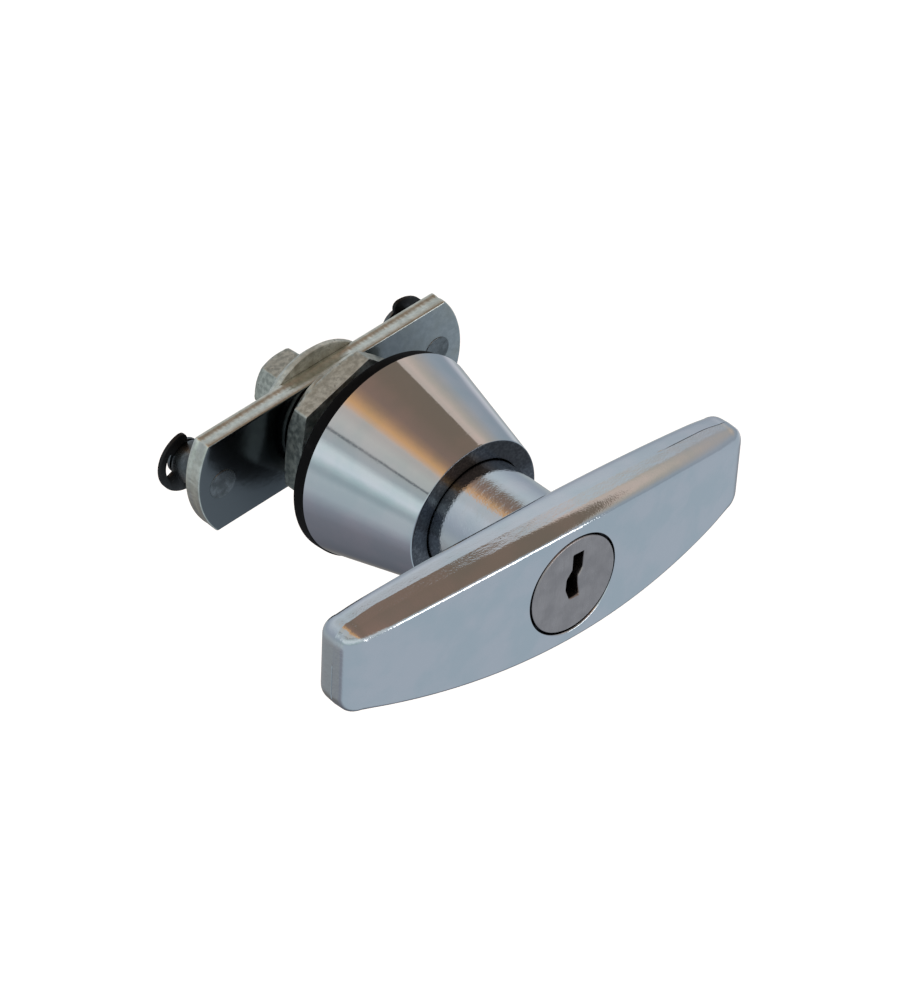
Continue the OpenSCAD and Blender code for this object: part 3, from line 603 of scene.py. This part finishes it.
def rod_stud(side):
    """Shouldered stud: a flat rivet head before the plate, a shank behind it, a groove for its clip."""
    end_y = PLATE_BACK_Y + STUD_REACH
    rivet_y = PLATE_Y - RIVET_RISE
    groove_front, groove_back = CLIP_Y - 0.05, CLIP_Y + CLIP_T + 0.05
    profile = rounded([
        (0, rivet_y, 0), (RIVET_R, rivet_y, 0.14), (RIVET_R + 0.02, PLATE_Y + 0.1, 0),
        (TENON_R, PLATE_Y + 0.8, 0), (TENON_R, PLATE_BACK_Y, 0), (STUD_R, PLATE_BACK_Y, 0.15),
        (STUD_R, groove_front, 0.08), (CLIP_GROOVE_R, groove_front, 0), (CLIP_GROOVE_R, groove_back, 0),
        (STUD_END_R, groove_back, 0.08), (STUD_END_R, end_y - 0.4, 0.12), (STUD_END_R - 0.4, end_y, 0.12),
        (0, end_y, 0),
    ], 4)
    stud = shifted_to_stud(turned(profile, 128), side)
    return smooth(solid(f"rivet_stud_{side}", stud))


def shifted_to_stud(grid, side):
    """The grid moved from the spindle to the stud at the left or at the right."""
    return spun(grid + np.array([STUD_X[side], 0, 0]), PLATE_TURN)


def e_clip(side):
    """Stamped open ring with three prongs: arcs at its rim, its hub and its band, with round corners."""
    gap = (360 - CLIP_MOUTH - 3 * CLIP_PRONG) / 2
    band_r, half = CLIP_R - CLIP_BAND, CLIP_MOUTH / 2
    arcs = [(CLIP_R, half, 360 - half, CLIP_TIP_ROUND)]
    end = 360 - half
    for radius, sweep in ((CLIP_HUB_R, CLIP_PRONG), (band_r, gap)) * 2 + ((CLIP_HUB_R, CLIP_PRONG),):
        arcs.append((radius, end, end - sweep, CLIP_CORNER_ROUND))
        end -= sweep
    corners = []
    for radius, start, stop, edge in arcs:
        inset = math.copysign(math.degrees(1.3 * edge / radius), stop - start)
        between_ends = np.linspace(start + inset, stop - inset, 60)
        for degrees in np.concatenate([[start], between_ends, [stop]]):
            point = radius * np.exp(1j * math.radians(degrees))
            corners.append((point.real, point.imag, edge if degrees in (start, stop) else 0))
    way = np.exp(1j * math.radians(CLIP_TURN[side]))
    outline = even(rounded(corners, 5), 420) * way - 1j * CLIP_PLAY
    normal = outward(outline)
    levels = ((0.12, 0.0), (0.04, 0.04), (0.0, 0.12), (0.0, CLIP_T - 0.06), (0.06, CLIP_T))
    rows = [row(outline - normal * inset, CLIP_Y + y) for inset, y in levels]
    return smooth(solid(f"e_clip_{side}", shifted_to_stud(np.stack(rows), side)))


def retaining_disc():
    """Thick disc with a chamfer behind and a faint turned step on its back."""
    hole_r, flat_r = BOLT_R + BOLT_PLAY, DISC_R - DISC_CHAMFER
    profile = rounded([
        (hole_r, PLATE_BACK_Y, 0), (DISC_R, PLATE_BACK_Y, 0.15), (DISC_R, DISC_BACK_Y - DISC_CHAMFER, 0.4),
        (flat_r, DISC_BACK_Y, 0.4), (flat_r - 0.8, DISC_BACK_Y, 0.1),
        (flat_r - 0.9, DISC_BACK_Y - DISC_STEP, 0.1), (hole_r, DISC_BACK_Y - DISC_STEP, 0),
    ], 4)
    return smooth(solid("retaining_disc_turned", turned(profile, 320), ring=True), 50)


def flat_washer(name, r0, r1, y0, y1, edge):
    """Stamped ring with its rims rounded."""
    profile = rounded([(r0, y0, edge / 2), (r1, y0, edge), (r1, y1, edge), (r0, y1, edge / 2)], 4)
    return smooth(solid(name, turned(profile, 256), ring=True), 50)


def spring_washer():
    """Split ring: a square section carried once round, its ends cut on the slant."""
    gap = math.radians(SPRING_GAP)
    a = np.linspace(gap, 2 * math.pi - gap, 200) + math.pi / 2
    hole_r = BOLT_R + BOLT_PLAY
    section = rounded([(hole_r, DISC_BACK_Y, 0.2), (SPRING_R, DISC_BACK_Y, 0.25),
                       (SPRING_R, SPRING_BACK_Y, 0.25), (hole_r, SPRING_BACK_Y, 0.2)], 3)
    slant = SPRING_SLANT * (section.imag - (DISC_BACK_Y + SPRING_BACK_Y) / 2) / SPRING_R
    rows = row(section.real * np.exp(1j * (a[:, None] + slant)), section.imag)
    return smooth(solid("spring_washer_coil", rows))


def gasket():
    """Moulded ring, which hangs down on the spigot: its rim bulges where the cone presses on it."""
    radius, bore = high("gasket")[0], SPIGOT_R + GASKET_DROP + GASKET_PLAY
    profile = rounded([(bore, BASE_Y, 0), (radius - 0.12, BASE_Y, 0.25), (radius, -0.9, 0.8),
                       (radius, 0, 0.3), (bore, 0, 0)], 5)
    ring = turned(profile, 320) - np.array([0, 0, GASKET_DROP])
    return smooth(solid("gasket_ring", ring, ring=True), 50)


def add_node(tree, kind, inputs=(), **settings):
    """A shader node with its settings, and its inputs as numbers, colours or the sockets that feed them."""
    made = tree.nodes.new(kind)
    for key, value in settings.items():
        setattr(made, key, value)
    for key, value in dict(inputs).items():
        if isinstance(value, bpy.types.NodeSocket):
            tree.links.new(value, made.inputs[key])
        else:
            made.inputs[key].default_value = value
    return made


def calc(tree, operation, a, b=0.0, c=0.0):
    """Result of a maths node."""
    return add_node(tree, "ShaderNodeMath", {0: a, 1: b, 2: c}, operation=operation).outputs[0]


def between(tree, value, x0, x1, y0=0.0, y1=1.0):
    """The value's range x0 to x1, made y0 to y1 with a smooth cubic."""
    return add_node(tree, "ShaderNodeMapRange", {0: value, 1: x0, 2: x1, 3: y0, 4: y1},
                    interpolation_type="SMOOTHSTEP").outputs[0]


def ramp(tree, value, stops):
    """Colour along stops (place, red, green, blue)."""
    made = add_node(tree, "ShaderNodeValToRGB", {0: value})
    elements = made.color_ramp.elements
    while len(elements) < len(stops):
        elements.new(0.5)
    for element, (place, *colour) in zip(elements, stops):
        element.position = place
        element.color = (*colour, 1)
    return made.outputs[0]


def blend(tree, amount, first, second):
    """Two colours mixed by an amount."""
    return add_node(tree, "ShaderNodeMix", {0: amount, 6: first, 7: second}, data_type="RGBA").outputs[2]


def place_mm(tree, stretch=(1, 1, 1)):
    """The point on the piece in millimetres, squeezed along an axis where stretch is above 1."""
    coordinates = add_node(tree, "ShaderNodeTexCoord").outputs["Object"]
    scale = [s / MM for s in stretch]
    return add_node(tree, "ShaderNodeMapping", {"Vector": coordinates, "Scale": scale}).outputs[0]


def grain(tree, size, detail=2.0, stretch=(1, 1, 1), roughness=0.5):
    """Noise from 0 to 1 with features of a size in millimetres."""
    return add_node(tree, "ShaderNodeTexNoise", {
        "Vector": place_mm(tree, stretch), "Scale": 1 / size, "Detail": detail, "Roughness": roughness,
    }).outputs["Fac"]


def pits(tree, spacing, share, size):
    """1 inside small round pits, at about one cell in 1 / share, and 0 elsewhere."""
    cells = add_node(tree, "ShaderNodeTexVoronoi", {"Vector": place_mm(tree), "Scale": 1 / spacing})
    lot = add_node(tree, "ShaderNodeSeparateColor", {0: cells.outputs["Color"]}).outputs[0]
    rim = size / spacing
    inside = between(tree, cells.outputs["Distance"], rim, 0.4 * rim)
    return calc(tree, "MULTIPLY", calc(tree, "LESS_THAN", lot, share), inside)


def hollow_shade(tree, reach, open_at, closed_at):
    """Painted shade mask: 0 on open faces and 1 in hollows, by how much is hidden within a reach in
    millimetres; colours are darkened by it where shade would fall.
    """
    seen = add_node(tree, "ShaderNodeAmbientOcclusion", {"Distance": reach * MM}, samples=12).outputs["AO"]
    return between(tree, seen, open_at, closed_at)


def height(tree, layers):
    """Bump from layers (height in millimetres, value), one on top of the other."""
    normal = None
    for rise, value in layers:
        inputs = {"Height": value, "Distance": rise * MM, "Strength": 1.0}
        if normal is not None:
            inputs["Normal"] = normal
        normal = add_node(tree, "ShaderNodeBump", inputs).outputs[0]
    return normal


def finish(name):
    """A new material with its node tree and its shader."""
    material = bpy.data.materials.new(name)
    material.use_nodes = True
    return material, material.node_tree, material.node_tree.nodes["Principled BSDF"]


def feed(tree, shader, **sockets):
    """Feeds the shader's sockets, named with underscores, with numbers, colours or other sockets."""
    for key, value in sockets.items():
        target = shader.inputs[key.replace("_", " ")]
        if isinstance(value, bpy.types.NodeSocket):
            tree.links.new(value, target)
        else:
            target.default_value = value


def chrome_plate(name, peel, shaded_nose_y):
    """Bright chrome on a die casting: waves of the polish, smudges, hairline scratches, a few pits.

    The peel is the height of its orange-peel skin. What lies in front of the plane given last, the nose
    face, is painted dark as shade and made rougher; hollows get painted shade as well.
    """
    material, tree, shader = finish(name)
    cloud = grain(tree, 7.0, 3)
    fine = grain(tree, 0.7, 3)
    wave = grain(tree, 1.5, 2, (0.4, 1, 1))
    scratch = between(tree, grain(tree, 0.35, 1, (0.04, 1, 1)), 0.62, 0.74)
    spot = pits(tree, 2.6, 0.05, 0.16)
    tint = blend(tree, between(tree, cloud, 0.35, 0.65), (0.645, 0.695, 0.73, 1), (0.715, 0.725, 0.76, 1))
    tint = blend(tree, spot, tint, (0.16, 0.15, 0.14, 1))
    along = split(tree, place_mm(tree), 1)
    # Painted shade: the nose face in front of the plane is painted near black in grainy patches, for the
    # dark reflection it shows; the same mask makes it rougher
    cut = between(tree, along, shaded_nose_y + 0.12, shaded_nose_y + 0.05)
    skin = grain(tree, 0.4, 4, roughness=0.7)
    nose_painted_shade = calc(tree, "MULTIPLY", cut, between(tree, skin, 0.75, 0.4, 0.8, 1.0))
    tint = blend(tree, nose_painted_shade, tint, (0.085, 0.09, 0.105, 1))
    # Painted shade in hollows: the chrome colour is darkened where the surface is hidden
    tint = blend(tree, hollow_shade(tree, 5.0, 0.66, 0.4), tint, (0.05, 0.052, 0.06, 1))
    rough = calc(tree, "MULTIPLY_ADD", between(tree, cloud, 0.3, 0.75), 0.05, 0.045)
    rough = calc(tree, "MULTIPLY_ADD", cut, 0.08, rough)
    rough = calc(tree, "MULTIPLY_ADD", scratch, 0.06, rough)
    rough = calc(tree, "MULTIPLY_ADD", spot, 0.3, rough)
    bump = height(tree, [(0.012, grain(tree, 3.2, 1)), (peel, grain(tree, 0.34, 3)), (0.0016, fine),
                         (1.8 * peel, wave), (0.0010, scratch), (-0.02, spot)])
    feed(tree, shader, Metallic=1.0, Base_Color=tint, Roughness=rough, Normal=bump)
    return material


def zinc_tint(tree, pale, dark, specks):
    """Mottled grey of zinc plate with a few stains and dark specks."""
    mottle = grain(tree, 1.1, 5, roughness=0.65)
    tint = blend(tree, between(tree, mottle, 0.36, 0.66), (*dark, 1), (*pale, 1))
    tint = blend(tree, between(tree, grain(tree, 5.0, 2), 0.45, 0.75, 0, 0.3), tint, (0.40, 0.39, 0.31, 1))
    return blend(tree, calc(tree, "MULTIPLY", specks, 0.6), tint, (0.10, 0.10, 0.085, 1)), mottle


def zinc_casting(name, pale, dark, rough):
    """Zinc plate on a turned or stamped piece: mottled and specked, with lines along the spindle, and
    painted shade in its hollows.
    """
    material, tree, shader = finish(name)
    speck = pits(tree, 0.9, 0.16, 0.2)
    lines = grain(tree, 0.22, 2, (1, 0.3, 1))
    tint, mottle = zinc_tint(tree, pale, dark, speck)
    # Painted shade in hollows: the zinc colour is darkened where the surface is hidden
    tint = blend(tree, hollow_shade(tree, 3.0, 0.55, 0.2), tint, (0.04, 0.045, 0.045, 1))
    coarse = between(tree, mottle, 0.3, 0.7, rough - 0.07, rough + 0.12)
    coarse = calc(tree, "MULTIPLY_ADD", lines, 0.10, coarse)
    bump = height(tree, [(0.02, grain(tree, 1.8, 2)), (0.006, lines), (0.006, mottle), (-0.02, speck)])
    feed(tree, shader, Metallic=1.0, Base_Color=tint, Roughness=coarse, Normal=bump)
    return material


def split(tree, vector, axis):
    """One of the three parts of a vector, by its number."""
    return add_node(tree, "ShaderNodeSeparateXYZ", {0: vector}).outputs[axis]


def zinc_strip():
    """Zinc plate on the blanked strip: rolled faces smooth and painted dark as shade, darker still towards
    the left and near the nut; sheared edges pale and coarse.
    """
    material, tree, shader = finish("zinc_strip")
    facing = split(tree, add_node(tree, "ShaderNodeNewGeometry").outputs["Normal"], 1)
    face = between(tree, calc(tree, "ABSOLUTE", facing), 0.75, 0.97)
    lines = grain(tree, 0.22, 2, (0.06, 1, 1))
    speck = pits(tree, 1.1, 0.06, 0.16)
    edge_tint, mottle = zinc_tint(tree, (0.84, 0.85, 0.77), (0.66, 0.67, 0.60), 0.0)
    # Painted shade: the flat faces take a darker copy of the zinc colour than the sheared edges
    face_tint, _ = zinc_tint(tree, (0.46, 0.49, 0.50), (0.39, 0.42, 0.43), speck)
    across = split(tree, place_mm(tree), 0)
    # Painted shade: the faces darken towards the left, for the shaded surroundings they reflect
    face_tint = blend(tree, between(tree, across, 6, -14), face_tint, (0.155, 0.17, 0.18, 1))
    # Painted shade: the faces darken where the nut and cone hide them
    close = calc(tree, "MULTIPLY", hollow_shade(tree, 35.0, 0.95, 0.5), 0.6)
    face_tint = blend(tree, close, face_tint, (0.05, 0.06, 0.07, 1))
    tint = blend(tree, face, edge_tint, face_tint)
    coarse = calc(tree, "MULTIPLY_ADD", face, -0.10, calc(tree, "MULTIPLY_ADD", lines, 0.08, 0.27))
    bump = height(tree, [(0.02, grain(tree, 1.8, 2)), (0.005, lines), (0.002, mottle), (-0.01, speck)])
    feed(tree, shader, Metallic=1.0, Base_Color=tint, Roughness=coarse, Normal=bump)
    return material


def satin_nickel():
    """Nickel on the plug: a fine brushed grain, softly streaked, with painted shade in its hollows."""
    material, tree, shader = finish("satin_nickel")
    brushed = grain(tree, 0.16, 3, (1, 1, 0.08))
    cloud = grain(tree, 3.0, 3)
    tint = blend(tree, between(tree, cloud, 0.3, 0.7), (0.40, 0.36, 0.355, 1), (0.49, 0.44, 0.43, 1))
    tint = blend(tree, between(tree, brushed, 0.4, 0.9, 0, 0.4), tint, (0.30, 0.27, 0.265, 1))
    # Painted shade in hollows: the nickel colour is darkened where the surface is hidden
    tint = blend(tree, hollow_shade(tree, 4.0, 0.6, 0.3), tint, (0.03, 0.028, 0.04, 1))
    rough = between(tree, brushed, 0.2, 0.8, 0.26, 0.38)
    bump = height(tree, [(0.004, brushed), (0.004, grain(tree, 0.5, 2))])
    feed(tree, shader, Metallic=1.0, Base_Color=tint, Roughness=rough, Normal=bump)
    return material


def mottled(name, mottle, tones, rough, skin, **more):
    """A finish whose colour and roughness follow one mottle: size, detail and roughness of its noise.

    The tones are the mottle's range, then its dark and pale colour. The skin is bump, in rows of
    height and noise.
    """
    material, tree, shader = finish(name)
    size, detail, waver = mottle
    stain = grain(tree, size, detail, roughness=waver)
    first, last, dark, pale = tones
    tint = blend(tree, between(tree, stain, first, last), (*dark, 1), (*pale, 1))
    bump = height(tree, [(rise, grain(tree, *layer)) for rise, *layer in skin])
    coarse = between(tree, stain, 0.3, 0.7, *rough)
    feed(tree, shader, Base_Color=tint, Roughness=coarse, Normal=bump, **more)
    return material


def turned_steel(name, pale, dark, rough):
    """Machined steel: fine rings round its axis, a little stained."""
    skin = [(0.008, 0.14, 2, (0.15, 1, 0.15)), (0.004, 1.6, 4, (1, 1, 1), 0.6)]
    return mottled(name, (1.6, 4, 0.6), (0.35, 0.7, dark, pale), (rough + 0.1, rough - 0.05), skin,
                   Metallic=1.0)


def black_steel():
    """Blackened spring steel: oily and dark, with grey where it has rubbed."""
    return mottled("black_steel", (0.9, 4, 0.7), (0.6, 0.8, (0.012, 0.012, 0.013), (0.07, 0.07, 0.072)),
                   (0.5, 0.36), [(0.008, 0.3, 3)], Metallic=0.5)


def black_rubber():
    """Moulded rubber: matt black with a dusty bloom and a fine mould texture."""
    return mottled("black_rubber", (2.5, 4, 0.6), (0.45, 0.8, (0.003, 0.003, 0.0035), (0.010, 0.010, 0.011)),
                   (0.50, 0.66), [(0.012, 0.25, 3)], Specular_IOR_Level=0.08)


def brass():
    """Stamped brass of the wafers."""
    return mottled("wafer_brass", (1.2, 3, 0.5), (0.35, 0.7, (0.50, 0.36, 0.15), (0.66, 0.51, 0.25)),
                   (0.24, 0.4), [(0.006, 0.2, 2, (1, 1, 0.1))], Metallic=1.0)


# Camera: its turn, its height, its roll and its place against the origin, in degrees and millimetres
CAMERA_AZIMUTH, CAMERA_HEIGHT, CAMERA_ROLL = -44.184, 37.405, 3.0466
CAMERA_DISTANCE, CAMERA_ASIDE, CAMERA_UP = 711.12, 10.7486, -7.9557
CAMERA_AIM_Y = -2.5
CAMERA_LENS, CAMERA_SENSOR = 146.22, 36.0

# Surroundings: rows of height in degrees, red, green and blue for three walls
LEFT_WALL = [
    (-90, 0.1, 0.11, 0.13), (-50, 0.21, 0.21, 0.24), (-38, 0.28, 0.29, 0.33), (-24, 0.45, 0.5, 0.53),
    (-10, 0.48, 0.54, 0.56), (-4, 0.37, 0.44, 0.46), (-1, 0.38, 0.45, 0.47), (4, 0.5, 0.6, 0.61),
    (10, 0.74, 0.8, 0.83), (19, 0.7, 0.78, 0.78), (26, 0.45, 0.49, 0.5), (34, 0.46, 0.48, 0.47),
    (35, 0.16, 0.17, 0.18), (36, 0.19, 0.2, 0.2), (37.5, 0.55, 0.55, 0.53), (48, 0.58, 0.57, 0.53),
    (56, 0.55, 0.51, 0.47),
]
RIGHT_WALL = [
    (-90, 0.1, 0.11, 0.13), (-55, 0.1, 0.11, 0.13), (-34, 0.3, 0.32, 0.35), (-22, 0.66, 0.68, 0.71),
    (-17, 0.63, 0.65, 0.68), (-11, 0.52, 0.54, 0.59), (-5, 0.34, 0.38, 0.43), (2, 0.33, 0.38, 0.43),
    (14, 0.37, 0.41, 0.45), (28, 0.46, 0.43, 0.4), (35, 0.55, 0.48, 0.41), (42, 0.7, 0.56, 0.48),
    (52, 0.6, 0.5, 0.44),
]
BACK_WALL = [
    (-90, 0.1, 0.11, 0.13), (-60, 0.15, 0.15, 0.17), (-51, 0.19, 0.18, 0.17), (-38, 0.33, 0.34, 0.35),
    (-19, 0.42, 0.46, 0.48), (-3, 0.37, 0.41, 0.46), (6, 0.4, 0.44, 0.5), (37, 0.59, 0.64, 0.68),
    (44, 0.53, 0.56, 0.58), (56, 0.51, 0.57, 0.6),
]
BACK_START, BACK_SPREAD = (0.43, 0.53), 1.62
FRONT_FLOOR = (0.435, 0.5, 0.56)

# Ceiling panel: rows of place across it, red, green and blue, and its edges in directions x / z and y / z
CEILING = [
    (0.03, 0.62, 0.52, 0.44), (0.075, 0.69, 0.47, 0.32), (0.14, 0.72, 0.42, 0.2),
    (0.267, 0.38, 0.24, 0.16), (0.35, 0.28, 0.19, 0.15), (0.6, 0.23, 0.17, 0.13),
    (0.967, 0.22, 0.17, 0.13),
]
CEILING_LEFT, CEILING_RIGHT, CEILING_SLANT = -0.62, 0.90, -0.25
CEILING_FRONT, CEILING_BACK = -2.1, 0.82
TAPER_LEFT, TAPER_RIGHT = (0.40, 0.75), (0.58, 1.15)
FLOOR_DROP, FLOOR_REACH = 350.0, 30000.0


def wall_colour(tree, elevation, stops):
    """A wall's colour by height."""
    return ramp(tree, elevation, [((degrees + 90) / 180, *colour) for degrees, *colour in stops])


def drawn_in(tree, along, taper, edge):
    """The edge moved by a slope for each step along the panel past a start; the taper is (start, slope)."""
    start, slope = taper
    past = calc(tree, "MAXIMUM", calc(tree, "SUBTRACT", along, start), 0.0)
    return calc(tree, "MULTIPLY_ADD", past, -slope, edge)


def ceiling_panel(tree, x, y, z):
    """How much of a direction's view is the panel, and its place across the panel from 0 to 1.

    The panel is flat: the direction (x, y, z) meets it at x / z and y / z, where its edges are lines.
    """
    up = calc(tree, "MAXIMUM", z, 0.02)
    across, along = calc(tree, "DIVIDE", x, up), calc(tree, "DIVIDE", y, up)
    right = calc(tree, "MULTIPLY_ADD", along, CEILING_SLANT, CEILING_RIGHT)
    right = calc(tree, "SUBTRACT", drawn_in(tree, along, TAPER_RIGHT, right), across)
    left = drawn_in(tree, along, TAPER_LEFT, across)
    panel = between(tree, z, 0.02, 0.1)
    for edge in (between(tree, left, CEILING_LEFT, CEILING_LEFT + 0.10), between(tree, right, 0.0, 0.03),
                 between(tree, along, CEILING_FRONT - 0.9, CEILING_FRONT + 0.6),
                 between(tree, along, CEILING_BACK, CEILING_BACK - 0.07)):
        panel = calc(tree, "MULTIPLY", panel, edge)
    place = calc(tree, "SUBTRACT", left, CEILING_LEFT)
    return panel, calc(tree, "DIVIDE", place, CEILING_RIGHT - CEILING_LEFT)


def surroundings():
    """Soft studio round the latch: pale walls, and a brown ceiling panel with a warm lamp at its left."""
    world = bpy.data.worlds.new("studio")
    bpy.context.scene.world = world
    world.use_nodes = True
    tree = world.node_tree
    way = add_node(tree, "ShaderNodeTexCoord").outputs["Generated"]
    x, y, z = (split(tree, way, axis) for axis in range(3))
    elevation = calc(tree, "MULTIPLY_ADD", calc(tree, "ARCSINE", z), 1 / math.pi, 0.5)
    left, right, back = (wall_colour(tree, elevation, wall) for wall in (LEFT_WALL, RIGHT_WALL, BACK_WALL))
    room = blend(tree, between(tree, x, -0.25, 0.35), left, right)
    below = calc(tree, "MULTIPLY", between(tree, z, 0.02, -0.12), between(tree, y, 0.25, -0.2))
    room = blend(tree, below, room, (*FRONT_FLOOR, 1))
    beside = between(tree, calc(tree, "MULTIPLY_ADD", y, -BACK_SPREAD, x), 0.10, -0.02)
    room = blend(tree, calc(tree, "MULTIPLY", between(tree, y, *BACK_START), beside), room, back)
    panel, place = ceiling_panel(tree, x, y, z)
    room = blend(tree, panel, room, ramp(tree, place, CEILING))
    feed(tree, tree.nodes["Background"], Color=room, Strength=1.0)


def facing(azimuth, elevation, roll=0.0):
    """Right, up and back directions of what looks at the latch; azimuth 0 is in front, 90 at the right."""
    a, e, r = (math.radians(angle) for angle in (azimuth, elevation, roll))
    back = np.array([math.sin(a) * math.cos(e), -math.cos(a) * math.cos(e), math.sin(e)])
    right = np.array([math.cos(a), math.sin(a), 0.0])
    up = np.cross(back, right)
    return right * math.cos(r) + up * math.sin(r), up * math.cos(r) - right * math.sin(r), back


def set_up(name, data, columns):
    """An object for a lamp or the camera: its directions and its place are the columns of its matrix."""
    thing = bpy.data.objects.new(name, data)
    thing.matrix_world = Matrix([*np.stack(columns, 1).tolist(), [0, 0, 0, 1]])
    bpy.context.scene.collection.objects.link(thing)
    return thing


def front_lamp():
    """Wide soft lamp low in front, a little to the right."""
    lamp = bpy.data.lights.new("front_strip", "AREA")
    lamp.shape = "RECTANGLE"
    lamp.size, lamp.size_y = 0.66, 0.24
    lamp.energy = 1.6
    lamp.color = (1.0, 0.99, 0.97)
    right, up, back = facing(19, 4)
    set_up("front_strip", lamp, (right, up, back, back * 1.2))


def camera():
    """Camera at the photograph's angle."""
    right, up, back = facing(CAMERA_AZIMUTH, CAMERA_HEIGHT, CAMERA_ROLL)
    place = right * CAMERA_ASIDE + up * CAMERA_UP + back * CAMERA_DISTANCE + np.array([0, CAMERA_AIM_Y, 0])
    data = bpy.data.cameras.new("camera")
    data.lens, data.sensor_width, data.sensor_fit = CAMERA_LENS, CAMERA_SENSOR, "AUTO"
    data.clip_start, data.clip_end = 0.01, 100
    bpy.context.scene.camera = set_up("camera", data, (right, up, back, place * MM))


def floor():
    """Plain pale floor far below; it glows a little, so that it stays near white under soft light."""
    z = (low("t_handle")[2] - FLOOR_DROP) * MM
    reach = FLOOR_REACH * MM
    mesh = bpy.data.meshes.new("floor")
    mesh.from_pydata([(-reach, -reach, z), (reach, -reach, z), (reach, reach, z), (-reach, reach, z)], [],
                     [(0, 1, 2, 3)])
    thing = bpy.data.objects.new("floor", mesh)
    material, tree, shader = finish("pale_floor")
    tone = blend(tree, grain(tree, 400.0, 2), (0.90, 0.905, 0.91, 1), (0.94, 0.94, 0.94, 1))
    feed(tree, shader, Base_Color=tone, Roughness=0.8, Emission_Color=(1, 1, 1, 1), Emission_Strength=0.72)
    mesh.materials.append(material)
    thing.visible_glossy = False
    bpy.context.scene.collection.objects.link(thing)


def dress(thing, material, body, slot, *nodes):
    """Gives a new piece its material and its body, and hides the CAD nodes that it stands for; its slot is
    not used.
    """
    thing.data.materials.clear()
    thing.data.materials.append(material)
    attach(thing, body)
    if nodes:
        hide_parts(*nodes)


def repaint(node, material):
    """Gives a CAD node that stays its finished material."""
    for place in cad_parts[node].material_slots:
        place.material = material


def build():
    """Makes every piece and sets it on its body."""
    cone_chrome = chrome_plate("cone_chrome", 0.002, NOSE_Y)
    handle_chrome = chrome_plate("handle_chrome", 0.019, FRONT_Y - 5)
    strip_zinc = zinc_strip()
    nut_zinc = zinc_casting("nut_zinc", (0.68, 0.70, 0.64), (0.39, 0.41, 0.37), 0.34)
    bolt_zinc = zinc_casting("bolt_zinc", (0.68, 0.70, 0.64), (0.38, 0.40, 0.36), 0.36)
    disc_zinc = zinc_casting("disc_zinc", (0.92, 0.95, 0.90), (0.62, 0.65, 0.60), 0.58)
    nickel = satin_nickel()
    # Painted shade: the stud steel is toned far darker than the pin steel, for the shade the studs sit in
    stud_steel = turned_steel("stud_steel", (0.21, 0.225, 0.235), (0.12, 0.13, 0.135), 0.26)
    pin_steel = turned_steel("pin_steel", (0.52, 0.52, 0.51), (0.34, 0.34, 0.33), 0.28)
    clip_black, rubber, wafer_brass = black_steel(), black_rubber(), brass()

    dress(cone_shell(), cone_chrome, "housing", "chrome", "escutcheon")
    dress(threaded_spigot(), cone_chrome, "housing", "chrome")
    dress(gasket(), rubber, "housing", "rubber", "gasket")
    dress(panel_nut(), nut_zinc, "housing", "zinc", "panel_nut")
    dress(flat_washer("thrust_washer_flat", SPINDLE_R + 0.2, SPIGOT_R, THRUST_Y, THRUST_BACK_Y, 0.15),
          nut_zinc, "housing", "zinc", "thrust_washer")
    dress(t_handle_casting(), handle_chrome, "handle", "chrome", "t_handle")
    dress(cam_plate(), strip_zinc, "handle", "zinc", "cam_plate")
    for side in STUD_X:
        dress(rod_stud(side), stud_steel, "handle", "steel", f"stud_{side}")
        dress(e_clip(side), clip_black, "handle", "black_steel", f"clip_{side}")
    dress(retaining_disc(), disc_zinc, "handle", "zinc", "retaining_disc")
    dress(spring_washer(), pin_steel, "handle", "steel", "spring_washer")
    dress(flat_washer("plain_washer_flat", BOLT_R + 0.2, PLAIN_R, SPRING_BACK_Y, HEAD_Y, 0.2),
          nut_zinc, "handle", "zinc", "plain_washer")
    dress(hex_bolt(), bolt_zinc, "handle", "zinc", "hex_bolt")
    dress(key_plug(), nickel, "plug", "nickel", "key_plug")
    for node, material in (("wafers", wafer_brass), ("wafer_springs", pin_steel), ("drive_pin", pin_steel),
                           ("locking_bolt", pin_steel), ("plug_pin", pin_steel), ("neck_seal", rubber)):
        repaint(node, material)


camera()
surroundings()
front_lamp()
floor()
build()
bpy.context.scene.view_settings.view_transform = "Standard"
